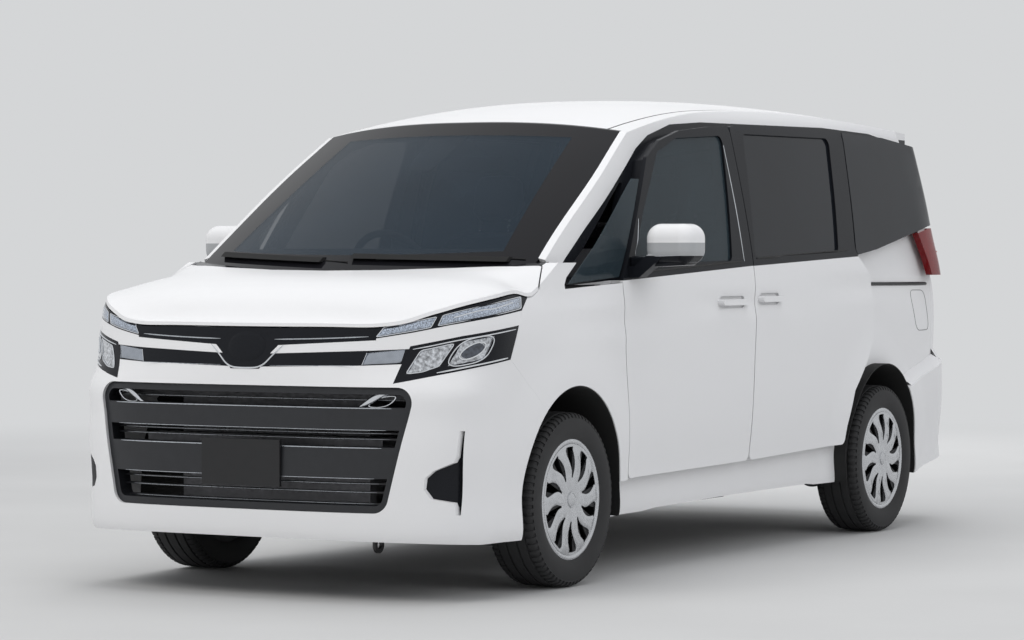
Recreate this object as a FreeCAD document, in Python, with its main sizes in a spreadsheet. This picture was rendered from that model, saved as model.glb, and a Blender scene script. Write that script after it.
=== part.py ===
import FreeCAD, Part
import math
import os
import Sketcher
from types import SimpleNamespace

os.makedirs("parts", exist_ok=True)
doc = FreeCAD.newDocument("Minivan")
vector = FreeCAD.Vector

# Driving dimensions in millimetres. The front faces -Y, the left side is +X, the ground is z = 0.
drivingSizes = [
    ("wheelbase", 2850, "front axle to rear axle"),
    ("frontOverhang", 905, "front axle to the bumper's tip"),
    ("rearOverhang", 940, "rear axle to the rear bumper"),
    ("bodyWidth", 1730, "over the wheel arch lips, without mirrors"),
    ("bodyHeight", 1865, "roof crown above the ground"),
    ("frontTrack", 1500, "between the front tyre centres"),
    ("rearTrack", 1515, "between the rear tyre centres"),
    ("tyreRadius", 320, "hub height of the loaded tyre"),
    ("tyreWidth", 205, "section width"),
    ("rimRadius", 203, "bead seat of the rim"),
    ("rimWidth", 165, "over the rim flanges"),
    ("flangeRadius", 221, "edge of the rim's flanges"),
    ("tyreWaist", 258, "radius where the tyre is widest"),
    ("tyreShoulderWidth", 190, "over the tyre's shoulders"),
    ("tyreShoulder", 302, "radius of the tyre's shoulders"),
    ("treadWidth", 160, "over the tread"),
    ("archLength", 380, "wheel arch half length"),
    ("archShift", 12, "wheel axle to the middle of its arch"),
    ("archHeight", 415, "wheel arch above the hub"),
    ("archFlare", 20, "how far the arch lip stands out"),
    ("sillBottom", 215, "underside of the sill"),
    ("creaseDepth", 7, "undercut below the shoulder crease"),
    ("panelGap", 5, "gap round doors and lids"),
    ("seatGap", 0.3, "gap where a piece seats on another"),
    ("doorWall", 60, "thickness of a door"),
    ("flangeWall", 25, "thickness of the frame behind a door"),
    ("flangeLap", 24, "how far the frame laps behind a door"),
    ("fenderWall", 8, "thickness of a front fender"),
    ("bumperWall", 25, "thickness of the bumper skins"),
    ("hoodWall", 12, "thickness of the hood"),
    ("roofWall", 28, "thickness of the roof with its lining"),
    ("tailgateWall", 45, "thickness of the tailgate"),
    ("glassWall", 5, "thickness of a pane"),
    ("glassDepth", 9, "how far a door pane lies below the skin"),
    ("glassSeat", 45, "width of the border that carries a flush pane"),
    ("cornerSeat", 15, "width of the border that carries the corner pane"),
    ("hemWall", 15, "outer skin of a door with its hem"),
    ("hemLap", 12, "how far the skin stands past the inner panel of a door"),
    ("floorWall", 30, "thickness of the floor pan"),
    ("floorHeight", 300, "underside of the front floor"),
    ("rearFloorHeight", 500, "underside of the rear floor"),
    ("linerWall", 4, "thickness of a wheelhouse liner"),
    ("linerInner", 440, "centre line to the inner wall of a wheelhouse"),
    ("rearLinerInner", 560, "centre line to the inner wall of a rear wheelhouse"),
    ("linerBottom", 360, "lower edge of a wheelhouse's inner wall"),
    ("linerClear", 20, "sill's underside to the liner's lower edge"),
    ("wheelDish", 88, "tyre centre to the face of the wheel cover"),
    ("coverWall", 8, "thickness of the wheel cover"),
    ("rimWall", 8, "thickness of the rim's barrel"),
    ("spokeSlotInner", 78, "inner end of a slot between the spokes"),
    ("spokeSlotOuter", 198, "outer end of a slot between the spokes"),
    ("spokeSlotNarrow", 14, "width of a slot at its inner end"),
    ("spokeSlotWide", 40, "width of a slot at its outer end"),
    ("kingpinInset", 70, "tyre centre to the steering axis"),
    ("brakeRadius", 135, "brake disc"),
    ("brakeWall", 22, "thickness of the brake disc"),
    ("brakeInset", 28, "tyre centre to the brake disc"),
    ("hubRadius", 62, "hub of the wheel"),
    ("spindleRadius", 20, "wheel spindle"),
    ("spindleReach", 45, "tyre centre to the spindle's outer end"),
    ("strutInset", 165, "tyre centre to the strut"),
    ("strutRadius", 25, "suspension strut tube"),
    ("springRadius", 50, "outside of a coil spring"),
    ("strutHeight", 705, "top of the front strut"),
    ("knuckleWall", 39, "thickness of the steering knuckle"),
    ("knuckleWidth", 70, "length of the steering knuckle along the van"),
    ("knuckleRise", 125, "top of the steering knuckle above the hub"),
    ("armWidth", 40, "width of a lower arm"),
    ("armWall", 25, "height of a lower arm"),
    ("armTop", 165, "top of a lower arm"),
    ("ballRadius", 28, "outer end of a lower arm"),
    ("crossHalf", 360, "half length of the front crossmember"),
    ("crossLength", 320, "front crossmember along the van"),
    ("crossBottom", 150, "underside of the front crossmember"),
    ("railWidth", 60, "width of a front rail"),
    ("railBottom", 250, "underside of a front rail"),
    ("beamHeight", 70, "height of the rear axle beam"),
    ("beamBottom", 265, "underside of the rear axle beam"),
    ("beamWidth", 80, "rear axle beam along the van"),
    ("trailArmOffset", 530, "centre line to a trailing arm"),
    ("trailArmWidth", 60, "width of a trailing arm"),
    ("trailArmWall", 40, "height of a trailing arm"),
    ("tankWidth", 700, "fuel tank across the van"),
    ("tankLength", 560, "fuel tank along the van"),
    ("tankBottom", 170, "underside of the fuel tank"),
    ("pipeRadius", 26, "exhaust pipe"),
    ("pipeHeight", 222, "centre of the exhaust pipe"),
    ("pipeOffset", 430, "centre line to the exhaust pipe"),
    ("mufflerRadius", 78, "exhaust silencer"),
    ("engineBottom", 250.3, "underside of the engine and gearbox"),
    ("engineTop", 820, "top of the engine and gearbox"),
    ("engineWidth", 620, "engine and gearbox across the van"),
    ("engineLength", 430, "engine and gearbox along the van"),
    ("radiatorWidth", 800, "radiator"),
    ("radiatorWall", 40, "thickness of the radiator"),
    ("radiatorBottom", 250.3, "underside of the radiator"),
    ("radiatorTop", 740, "top of the radiator"),
    ("latchWidth", 60, "hood latch post"),
    ("bumperBeamWidth", 1000, "crash beam behind the front bumper"),
    ("bumperBeamHeight", 100, "height of the crash beam"),
    ("bumperBeamDepth", 80, "crash beam along the van"),
    ("bumperBeamMiddle", 520, "middle of the crash beam above the ground"),
    ("grilleRecess", 12, "how far the lower grille lies below the bumper's skin"),
    ("grilleDepth", 75, "how far the lower grille reaches in"),
    ("grilleRibWall", 6, "thickness of a rib of the lower grille"),
    ("ribRecess", 50, "how far the ribs lie below the bumper's skin"),
    ("lampWall", 50, "depth of a headlamp"),
    ("fogDepth", 14, "how far the corner recess lies below the bumper's skin"),
    ("handleReach", 30, "outside of a door handle from the door's skin"),
    ("handleWall", 12, "thickness of a door handle"),
    ("handleHeight", 24, "height of a door handle"),
    ("handleFoot", 26, "length of a door handle's foot"),
    ("handleBowl", 11, "depth of the bowl behind a door handle"),
    ("railDepth", 12, "depth of the sliding door's rail slot"),
    ("seamWidth", 3, "seam round the fuel door"),
    ("spoilerWall", 34, "thickness of the spoiler's lip"),
    ("spoilerRoot", 110, "thickness of the spoiler at the roof"),
    ("steeringWheelRadius", 178, "steering wheel to the middle of its rim"),
    ("steeringRimRadius", 15, "section radius of the steering wheel's rim"),
    ("steeringHubRadius", 62, "pad at the middle of the steering wheel"),
    ("steeringHubWall", 36, "depth of the steering wheel's pad"),
    ("steeringSpokeWidth", 34, "spokes of the steering wheel"),
    ("columnRadius", 26, "steering column"),
    ("columnLength", 300, "steering column behind the wheel"),
    ("driverOffset", 370, "centre line to the middle of a front seat"),
    ("seatWidth", 520, "front and second row seats"),
    ("benchWidth", 530, "half of the third row seat"),
    ("benchOffset", 280, "centre line to the middle of half the third row seat"),
    ("seatHeight", 620, "underside of the front and second row cushions"),
    ("benchHeight", 660, "underside of the third row cushion"),
    ("seatPad", 120, "thickness of a seat cushion"),
    ("seatDepth", 500, "seat cushion along the van"),
    ("backrestHeight", 620, "backrest above the cushion"),
    ("backrestWall", 110, "thickness of a backrest"),
    ("headrestWidth", 230, "headrest"),
    ("headrestHeight", 200, "headrest"),
    ("headrestWall", 90, "thickness of a headrest"),
    ("headrestGap", 25, "headrest above the backrest"),
    ("headrestPost", 12, "posts of a headrest"),
    ("headrestPostLength", 100, "posts of a headrest"),
    ("headrestSunk", 50, "how far the posts reach below a headrest"),
    ("seatBaseWidth", 380, "base under a seat"),
    ("seatEdge", 30, "rounding of the seats"),
    ("mirrorWidth", 200, "door mirror housing across the van"),
    ("mirrorHeight", 152, "door mirror housing"),
    ("mirrorDepth", 170, "door mirror housing along the van"),
    ("mirrorEdge", 55, "rounding of the door mirror housing"),
    ("mirrorFoot", 60, "foot of the door mirror along the van"),
    ("wiperWall", 14, "height of a wiper blade"),
    ("plateWidth", 330, "blank number plate"),
    ("plateHeight", 165, "blank number plate"),
    ("plateWall", 12, "number plate with its backing"),
    ("towEyeRadius", 15, "hole of the towing eye"),
    ("towEyeOuter", 30, "outside of the towing eye"),
    ("towEyeWall", 12, "thickness of the towing eye"),
    ("towEyeHeight", 182, "centre of the towing eye"),
    ("overrun", 40, "how far a cutting shape runs past what it cuts"),
]
sheet = doc.addObject("Spreadsheet::Sheet", "Sizes")
for row, (alias, number, note) in enumerate(drivingSizes, 1):
    sheet.set("A%d" % row, alias)
    sheet.set("B%d" % row, str(number))
    sheet.setAlias("B%d" % row, alias)
    sheet.set("C%d" % row, note)
doc.recompute()
van = SimpleNamespace(**{alias: float(sheet.get(alias)) for alias, number, note in drivingSizes})

halfWidth = van.bodyWidth / 2
bodyLength = van.frontOverhang + van.wheelbase + van.rearOverhang
frontTip = -bodyLength / 2
frontAxle = frontTip + van.frontOverhang
rearAxle = frontAxle + van.wheelbase
rearTip = bodyLength / 2
hubHeight = van.tyreRadius


def along(station):
    """Place along the van: 0 front tip, 1 front axle, 2 rear axle, 3 rear tip."""
    if station < 1:
        return frontTip + station * van.frontOverhang
    if station < 2:
        return frontAxle + (station - 1) * van.wheelbase
    return rearAxle + (station - 2) * van.rearOverhang


def up(share):
    return share * van.bodyHeight


def across(share):
    return share * halfWidth


def smooth(table, place):
    """Cubic through a table of (place, value) pairs, straight beyond its ends."""
    last = len(table) - 1
    slopes = []
    for i in range(last + 1):
        low = table[max(i - 1, 0)]
        high = table[min(i + 1, last)]
        slopes.append((high[1] - low[1]) / (high[0] - low[0]))
    if place <= table[0][0]:
        return table[0][1] + slopes[0] * (place - table[0][0])
    if place >= table[last][0]:
        return table[last][1] + slopes[last] * (place - table[last][0])
    i = max(k for k in range(last) if table[k][0] <= place)
    span = table[i + 1][0] - table[i][0]
    f = (place - table[i][0]) / span
    rise = f * f * (3 - 2 * f)
    return (
        table[i][1] * (1 - rise)
        + table[i + 1][1] * rise
        + span * slopes[i] * f * (1 - f) ** 2
        - span * slopes[i + 1] * f * f * (1 - f)
    )


def ramp(value):
    """0 below 0, 1 above 1, smooth between."""
    f = min(max(value, 0), 1)
    return f * f * (3 - 2 * f)


# Body surfaces

sideProfileShares = [
    (0.0965, 0.9249), (0.1308, 0.9480), (0.2011, 0.9457), (0.2799, 0.9630),
    (0.3485, 0.9723), (0.4375, 0.9798), (0.4987, 0.9850), (0.5630, 0.9815),
    (0.6327, 0.9688), (0.7507, 0.9249), (0.8579, 0.8751), (0.9276, 0.8382),
    (0.9651, 0.7977), (0.9973, 0.7283),
]
creaseShares = [(0.6326, 0.5217), (1.1447, 0.5383), (1.5307, 0.5646), (1.9588, 0.5920), (2.7367, 0.6113)]
creaseSoftShare = 0.0118
flareFadeShare = 0.5
cowlNarrowShare = 0.0289
cowlNarrowStations = (1.1904, 0.9917)
cowlNarrowHeights = (0.5094, 0.5898)
frontTurn = along(0.4945)
rearTurn = along(2.5771)
frontRoundness = (3.3, 2.5)
frontRoundShares = (0.40, 0.45)
rearRoundness = (4.0, 3.0)
rearRoundShares = (0.54, 0.72)
creaseMiddle = 1.4
frontFaceShares = [
    (0.1019, 0.0326), (0.1340, 0.0061), (0.1877, 0), (0.2681, 0.0028), (0.3217, 0.0083),
    (0.4021, 0.0249), (0.4558, 0.0414), (0.5147, 0.0635), (0.5791, 0.0945), (0.6434, 0.1188),
    (1.0188, 0.1188),
]
rearFaceShares = [
    (0.1072, 2.9495), (0.1609, 2.9867), (0.2252, 3), (0.3110, 2.9973), (0.3646, 2.9761),
    (0.4021, 2.9548), (0.4826, 2.9495), (0.5898, 2.9388), (0.6434, 2.9229), (0.7507, 2.8856),
    (0.8579, 2.8431), (0.9383, 2.8112), (1.0080, 2.7793),
]


def station(table, z):
    return smooth(table, z / van.bodyHeight)


def frontFace(z):
    return along(station(frontFaceShares, z))


def rearFace(z):
    return along(station(rearFaceShares, z))


creasePlaces = [(along(y), up(z)) for y, z in creaseShares]


def between(low, high, share):
    return low + (high - low) * share


def rounding(z, front):
    """Exponent of the rounded corner seen from above, fuller low down."""
    ends = frontRoundness if front else rearRoundness
    low, high = frontRoundShares if front else rearRoundShares
    return between(ends[0], ends[1], ramp((z / van.bodyHeight - low) / (high - low)))


def bowed(turned, power):
    return (1 - turned ** power) ** (1 / power)


def sideWall(y, z):
    """Half width of the body at a place on its side, without the rounding of its ends."""
    x = across(smooth(sideProfileShares, z / van.bodyHeight))
    for axle in (frontAxle, rearAxle):
        middle = axle + van.archShift
        reach = math.hypot((y - middle) / van.archLength, (z - hubHeight) / van.archHeight)
        x += van.archFlare * (1 - ramp((reach - 1) / flareFadeShare))
    below = (smooth(creasePlaces, y) - z) / up(creaseSoftShare)
    x -= van.creaseDepth * math.exp(-((below - creaseMiddle) ** 2))
    forward = (along(cowlNarrowStations[0]) - y) / (along(cowlNarrowStations[0]) - along(cowlNarrowStations[1]))
    high = (z - up(cowlNarrowHeights[0])) / (up(cowlNarrowHeights[1]) - up(cowlNarrowHeights[0]))
    return x - across(cowlNarrowShare) * ramp(forward) * ramp(high)


def bodySide(y, z):
    """Half width of the body, rounded towards its ends."""
    if y < frontTurn:
        turned = min((frontTurn - y) / (frontTurn - frontFace(z)), 1)
        return sideWall(frontTurn, z) * bowed(turned, rounding(z, True))
    if y > rearTurn:
        turned = min((y - rearTurn) / (rearFace(z) - rearTurn), 1)
        return sideWall(rearTurn, z) * bowed(turned, rounding(z, False))
    return sideWall(y, z)


def gridSurface(pointAt, columns, rows):
    surface = Part.BSplineSurface()
    grid = [[pointAt(i / columns, j / rows) for j in range(rows + 1)] for i in range(columns + 1)]
    surface.interpolate(grid)
    return surface


sideColumns = 46
sideRows = 30
sideFront = along(0.395)
sideRearShare = 0.89
sideLow = up(0.0992)
sideHigh = up(0.9920)


def sidePoint(u, v):
    z = between(sideLow, sideHigh, v)
    y = between(sideFront, between(rearTurn, rearFace(z), sideRearShare), u)
    return vector(bodySide(y, z), y, z)


sideFace = gridSurface(sidePoint, sideColumns, sideRows).toShape()


def sideSlab(depth, thickness):
    """Slab of the left side, from a depth below the skin inwards."""
    return sideFace.translated(vector(-depth, 0, 0)).extrude(vector(-thickness, 0, 0))


def outsideOf(depth):
    """Everything outboard of the left side skin lowered by a depth."""
    return sideFace.translated(vector(-depth, 0, 0)).extrude(vector(halfWidth, 0, 0))


turnSteps = 10
sideSteps = 5
wrapRows = 13


def wrapSolid(inset, low, high, front):
    """Closed solid of one end of the body, inset from its skin."""
    turn = frontTurn if front else rearTurn
    back = along(0.8812) if front else along(2.2048)
    face = frontFace if front else rearFace

    def pointAt(u, v):
        place = (2 * u - 1) * (turnSteps + sideSteps)
        side = 1 if place >= 0 else -1
        steps = abs(place)
        z = between(low, high, v)
        half = sideWall(turn, z) - inset
        reach = abs(face(z) - turn) - inset
        if steps > turnSteps:
            y = between(turn, back, (steps - turnSteps) / sideSteps)
            return vector(side * (sideWall(y, z) - inset), y, z)
        angle = math.pi / 2 * steps / turnSteps
        power = rounding(z, front)
        far = ((math.sin(angle) / half) ** power + (math.cos(angle) / reach) ** power) ** (-1 / power)
        outward = -1 if front else 1
        return vector(side * far * math.sin(angle), turn + outward * far * math.cos(angle), z)

    surface = gridSurface(pointAt, 2 * (turnSteps + sideSteps), wrapRows)
    start, end, bottom, top = surface.bounds()
    faces = [surface.toShape()]
    rims = [surface.vIso(bottom).toShape(), surface.vIso(top).toShape()]
    ends = [surface.uIso(start).toShape(), surface.uIso(end).toShape()]
    bars = [Part.makeLine(surface.value(start, v), surface.value(end, v)) for v in (bottom, top)]
    for rim, bar in zip(rims, bars):
        faces.append(Part.Face(Part.Wire([rim, bar])))
    faces.append(Part.Face(Part.Wire([ends[0], bars[0], ends[1], bars[1]])))
    shell = Part.Shell(faces)
    shell.sewShape()
    solid = Part.Solid(shell)
    if solid.Volume < 0:
        solid.reverse()
    return solid


hoodFrontHeightShare = 0.5786
hoodRearHeightShare = 0.6421
hoodCamberShare = 0.0064
hoodFallShares = [
    (0.0400, 0.0531), (0.1200, 0.0590), (0.2100, 0.0384), (0.3200, 0.0260), (0.5500, 0.0250),
    (0.7000, 0.0375), (0.9365, 0.0040),
]
hoodRoundShares = [(0.0525, 0.0965), (0.4945, 0.0643), (0.7155, 0.0375), (0.9365, 0.0214)]
hoodFallPlaces = [(along(y), up(z)) for y, z in hoodFallShares]
hoodRoundPlaces = [(along(y), up(z)) for y, z in hoodRoundShares]
hoodFrontLimit = along(-0.0138)
hoodRearLimit = along(0.9917)
hoodSpan = [along(0.0635), along(0.9365)]


def hoodTop(x, y):
    level = up(hoodRearHeightShare)
    ahead = (hoodSpan[1] - y) / (hoodSpan[1] - hoodSpan[0])
    z = level - (level - up(hoodFrontHeightShare)) * ahead
    half = sideWall(frontTurn, z)
    reach = frontTurn - frontFace(z)
    forward = max(frontTurn - y, 0)
    power = rounding(z, True)
    sideReach = half * bowed(min(forward / reach, 1), power)
    frontReach = reach * bowed(min(abs(x) / half, 1), power)
    roundness = smooth(hoodRoundPlaces, y)
    towardsSide = math.exp(-max(sideReach - abs(x), 0) / roundness)
    towardsFront = math.exp(-max(frontReach - forward, 0) / roundness)
    fall = smooth(hoodFallPlaces, y) * (1 - (1 - towardsSide) * (1 - towardsFront))
    return z - up(hoodCamberShare) * (x / halfWidth) ** 2 - fall


hoodColumns = 30
hoodRows = 20


def hoodPoint(u, v):
    x = between(-halfWidth, halfWidth, u)
    y = between(hoodFrontLimit, hoodRearLimit, v)
    return vector(x, y, hoodTop(x, y))


hoodFace = gridSurface(hoodPoint, hoodColumns, hoodRows).toShape()


def aboveHood(depth):
    return hoodFace.translated(vector(0, 0, -depth)).extrude(vector(0, 0, van.bodyHeight / 2))


screenBaseStation = 0.6602
screenBaseShare = 0.6220
screenTopShare = 0.9249
screenSlope = 1.68
screenBowShare = 0.34
screenBulgeShare = 0.0472
screenSpanShare = 1.1


def screenPlace(x, z):
    """Place along the van of the windscreen's surface."""
    lift = (z - up(screenBaseShare)) / (up(screenTopShare) - up(screenBaseShare))
    bulge = up(screenBulgeShare) * lift * (1 - lift)
    bow = screenBowShare * halfWidth * (x / halfWidth) ** 2
    return along(screenBaseStation) + screenSlope * (z - up(screenBaseShare)) + bow - bulge


screenLow = up(0.5684)
screenHigh = up(1.0295)
screenColumns = 12
screenRows = 12


def screenPoint(u, v):
    x = across(between(-screenSpanShare, screenSpanShare, u))
    z = between(screenLow, screenHigh, v)
    return vector(x, screenPlace(x, z), z)


screenFace = gridSurface(screenPoint, screenColumns, screenRows).toShape()
screenInward = vector(0, 1, -screenSlope).normalize()


def aheadOfScreen(depth):
    moved = screenFace.translated(screenInward * depth)
    return moved.extrude(vector(0, -bodyLength, 0))


roofCentreShares = [
    (1.2079, 0.9201), (1.2956, 0.9469), (1.4009, 0.9721), (1.5061, 0.9877), (1.6816, 0.9984),
    (1.8219, 1.0000), (1.9974, 0.9952), (2.6835, 0.9812), (2.9973, 0.9716),
]
roofDropShare = 0.0365
roofDropReachShare = 0.7977
roofDropPower = 2.2


def roofTop(x, y):
    fall = up(roofDropShare) * (abs(x) / across(roofDropReachShare)) ** roofDropPower
    centre = smooth([(along(a), up(b)) for a, b in roofCentreShares], y)
    return centre - fall


roofFrontLimit = along(1.1553)
roofColumns = 16
roofRows = 24


def roofPoint(u, v):
    x = between(-halfWidth, halfWidth, u)
    y = between(roofFrontLimit, rearTip, v)
    return vector(x, y, roofTop(x, y))


roofFace = gridSurface(roofPoint, roofColumns, roofRows).toShape()


def aboveRoof(depth):
    return roofFace.translated(vector(0, 0, -depth)).extrude(vector(0, 0, van.bodyHeight / 2))


# Outlines and prisms


arcRoomShare = 0.45
flatCorner = math.radians(86)


def roundedWire(corners, radius):
    """Closed wire through corners, each rounded as far as its sides allow."""
    count = len(corners)
    edges = []
    arcs = []
    for i, corner in enumerate(corners):
        before = corners[i - 1] - corner
        after = corners[(i + 1) % count] - corner
        half = before.getAngle(after) / 2
        room = arcRoomShare * min(before.Length, after.Length)
        setBack = min(radius / math.tan(half), room) if radius > 0 and half < flatCorner else 0
        if setBack <= 0:
            arcs.append((corner, None, corner))
            continue
        start = corner + before.normalize() * setBack
        end = corner + after.normalize() * setBack
        bisector = (before + after).normalize()
        nearest = setBack / math.cos(half) - setBack * math.tan(half)
        arcs.append((start, corner + bisector * nearest, end))
    for i, (start, middle, end) in enumerate(arcs):
        if middle is not None:
            edges.append(Part.Arc(start, middle, end).toShape())
        following = arcs[(i + 1) % count][0]
        if (following - end).Length > van.seatGap / 10:
            edges.append(Part.makeLine(end, following))
    return Part.Wire(edges)


def grown(face, margin):
    """Flat face with its outline moved out by a margin, or in by a negative one."""
    return face.makeOffset2D(margin) if margin else face


def sidePrism(outline, margin=0, radius=0, low=0, high=None):
    """Prism across the van's left half from an outline of stations and heights."""
    corners = [vector(low, along(a), up(b)) for a, b in outline]
    face = Part.Face(roundedWire(corners, radius))
    reach = (high if high is not None else halfWidth + van.overrun) - low
    return grown(face, margin).extrude(vector(reach, 0, 0))


def frontPrism(outline, margin=0, radius=0, start=None, end=None):
    """Prism along the van from an outline of half widths and heights."""
    first = start if start is not None else frontTip - van.overrun
    last = end if end is not None else 0
    corners = [vector(across(a), first, up(b)) for a, b in outline]
    face = Part.Face(roundedWire(corners, radius))
    return grown(face, margin).extrude(vector(0, last - first, 0))


def planPrism(outline, margin=0, radius=0, low=0, high=None):
    """Prism upwards from an outline of half widths and stations."""
    corners = [vector(across(a), along(b), low) for a, b in outline]
    face = Part.Face(roundedWire(corners, radius))
    reach = (high if high is not None else 2 * van.bodyHeight) - low
    return grown(face, margin).extrude(vector(0, 0, reach))


cornerAngle = math.radians(40)
cornerAcross = vector(math.cos(cornerAngle), math.sin(cornerAngle), 0)
cornerAlong = vector(math.sin(cornerAngle), -math.cos(cornerAngle), 0)


def cornerPrism(places, margin=0, radius=0):
    """Prism seen from the front corner, through places of half width, station and height."""
    corners = []
    for a, b, c in places:
        place = vector(across(a), along(b), 0)
        corners.append(cornerAcross * place.dot(cornerAcross) + vector(0, 0, up(c)))
    face = Part.Face(roundedWire(corners, radius))
    return grown(face, margin).extrude(cornerAlong * bodyLength)


def box(low, high):
    return Part.makeBox(high[0] - low[0], high[1] - low[1], high[2] - low[2], vector(*low))


def mirrored(shape):
    return shape.mirror(vector(0, 0, 0), vector(1, 0, 0))


def archPrism(axle, margin=0, low=0):
    """Elliptical wheel arch opening from a half width outwards."""
    middle = axle + van.archShift
    centre = vector(low, middle, hubHeight)
    tall = vector(low, middle, hubHeight + van.archHeight + margin)
    wide = vector(low, middle + van.archLength + margin, hubHeight)
    ellipse = Part.Ellipse(tall, wide, centre)
    return Part.Face(Part.Wire(ellipse.toShape())).extrude(vector(halfWidth + van.overrun - low, 0, 0))


frontDoorShares = [
    (1.164, 0.1973), (1.5412, 0.2038), (1.5423, 0.9282), (1.4791, 0.9239), (1.3791, 0.9105),
    (1.3132, 0.8874), (1.264, 0.8499), (1.1974, 0.7158), (1.1412, 0.5979), (1.1447, 0.4665),
    (1.1602, 0.3271),
]
slidingDoorShares = [
    (1.544, 0.2038), (1.8623, 0.2145), (1.8675, 0.2563), (1.8886, 0.3362), (1.9272, 0.3952),
    (1.9605, 0.4558), (1.9623, 0.5335), (1.9588, 0.5952), (1.9167, 0.6461), (1.9079, 0.6649),
    (1.9395, 0.9335), (1.7472, 0.9351), (1.5658, 0.9298), (1.544, 0.9282),
]
frontGlassShares = [
    (1.1711, 0.6316), (1.4746, 0.6359), (1.5132, 0.9062), (1.3658, 0.8944), (1.2991, 0.8633),
    (1.2254, 0.7399),
]
slidingGlassShares = [(1.5504, 0.6418), (1.8447, 0.6552), (1.8851, 0.9169), (1.5833, 0.9131)]
quarterGlassShares = [
    (1.9096, 0.6477), (1.9914, 0.6617), (2.6399, 0.7174), (2.758, 0.7239), (2.758, 0.9062),
    (2.5559, 0.9158), (2.2899, 0.9282), (1.9423, 0.9335),
]
cornerGlassShares = [
    (1.0044, 0.5920), (1.1314, 0.6048), (1.1886, 0.7212), (1.2289, 0.8043), (1.2079, 0.8043),
    (1.1693, 0.7657), (1.083, 0.6681),
]
fenderShares = [
    (1.1553, 0.6340), (1.1619, 0.1941), (1.1132, 0.1941), (1.0149, 0.2413), (0.6200, 0.3600),
    (0.4800, 0.4472), (0.4800, 0.6340),
]
sideOuterShares = [
    (1.1202, 0.1072), (1.8921, 0.1233), (1.9974, 0.1233), (2.2686, 0.3298), (2.8473, 0.3968),
    (2.8473, 0.9893), (1.1904, 0.9893), (0.8481, 0.6971), (0.8800, 0.6365), (1.0360, 0.6365),
    (1.0010, 0.6030), (0.9860, 0.5905), (0.9870, 0.5850), (1.1553, 0.5962), (1.1904, 0.5962),
    (1.1904, 0.1920), (1.1202, 0.1920),
]
sideInnerShares = [
    (1.1202, 0.1206), (1.8921, 0.1260), (1.9974, 0.1260), (2.2686, 0.3378), (2.8005, 0.3995),
    (2.8005, 0.9893), (1.1904, 0.9893), (0.8702, 0.6971), (0.9696, 0.6327), (1.0044, 0.5898),
    (1.1202, 0.5898),
]
sillShares = [
    (1.1202, 0.0643), (1.1202, 0.1137), (1.1868, 0.1153), (1.2921, 0.1255), (1.5237, 0.1292),
    (1.7868, 0.1292), (1.8781, 0.1158), (1.8781, 0.0643),
]

doorRadius = van.doorWall / 2
frontArch = archPrism(frontAxle)
rearArch = archPrism(rearAxle)
doorFlangeDepth = van.doorWall + van.seatGap
sideDepth = doorFlangeDepth + van.flangeWall
behindScreen = aheadOfScreen(0)
overRoof = aboveRoof(0)
belowSill = sidePrism(sillShares)


nodes = []


def keep(label, *shapes):
    """Sub-part of the document: one shape, or like shapes that share a node."""
    feature = doc.addObject("Part::Feature", label)
    feature.Label = label
    feature.Shape = shapes[0] if len(shapes) == 1 else Part.makeCompound(shapes)
    feature.Placement = FreeCAD.Placement()
    nodes.append(feature)
    return feature


def bothSides(shape):
    return shape, mirrored(shape)


def betweenSides(shape, depth):
    outside = outsideOf(depth)
    return shape.cut(outside).cut(mirrored(outside))


tailLampShares = [(2.6130, 0.6000), (2.9069, 0.6000), (2.9069, 0.7153), (2.6399, 0.7130), (2.5000, 0.7010)]
slideRailShares = [(1.9690, 0.5716), (2.6835, 0.5759), (2.6835, 0.5850), (1.9690, 0.5807)]
fuelDoorShares = [(2.3300, 0.4660), (2.5560, 0.4660), (2.5660, 0.5620), (2.3300, 0.5620)]
tailgateShares = [
    (-0.6012, 0.3217), (0.6012, 0.3217), (0.7572, 0.4075), (0.7861, 0.5630), (0.7769, 0.6702),
    (0.6994, 0.9115), (0.6821, 1.0188), (-0.6821, 1.0188), (-0.6994, 0.9115), (-0.7769, 0.6702),
    (-0.7861, 0.5630), (-0.7572, 0.4075),
]
fenderBracketShares = [(1.1219, 0.3003), (1.137, 0.3003), (1.137, 0.5845), (1.1219, 0.5845)]
tailgateStart = along(2.609)
tailgateShut = along(2.6941)
tailgateCut = frontPrism(tailgateShares, van.panelGap, 0, tailgateStart, rearTip + van.overrun)
lampInner = across(0.3333)
tailLampCut = sidePrism(tailLampShares, van.seatGap, low=lampInner)
lampDepth = van.doorWall / 2


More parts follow.
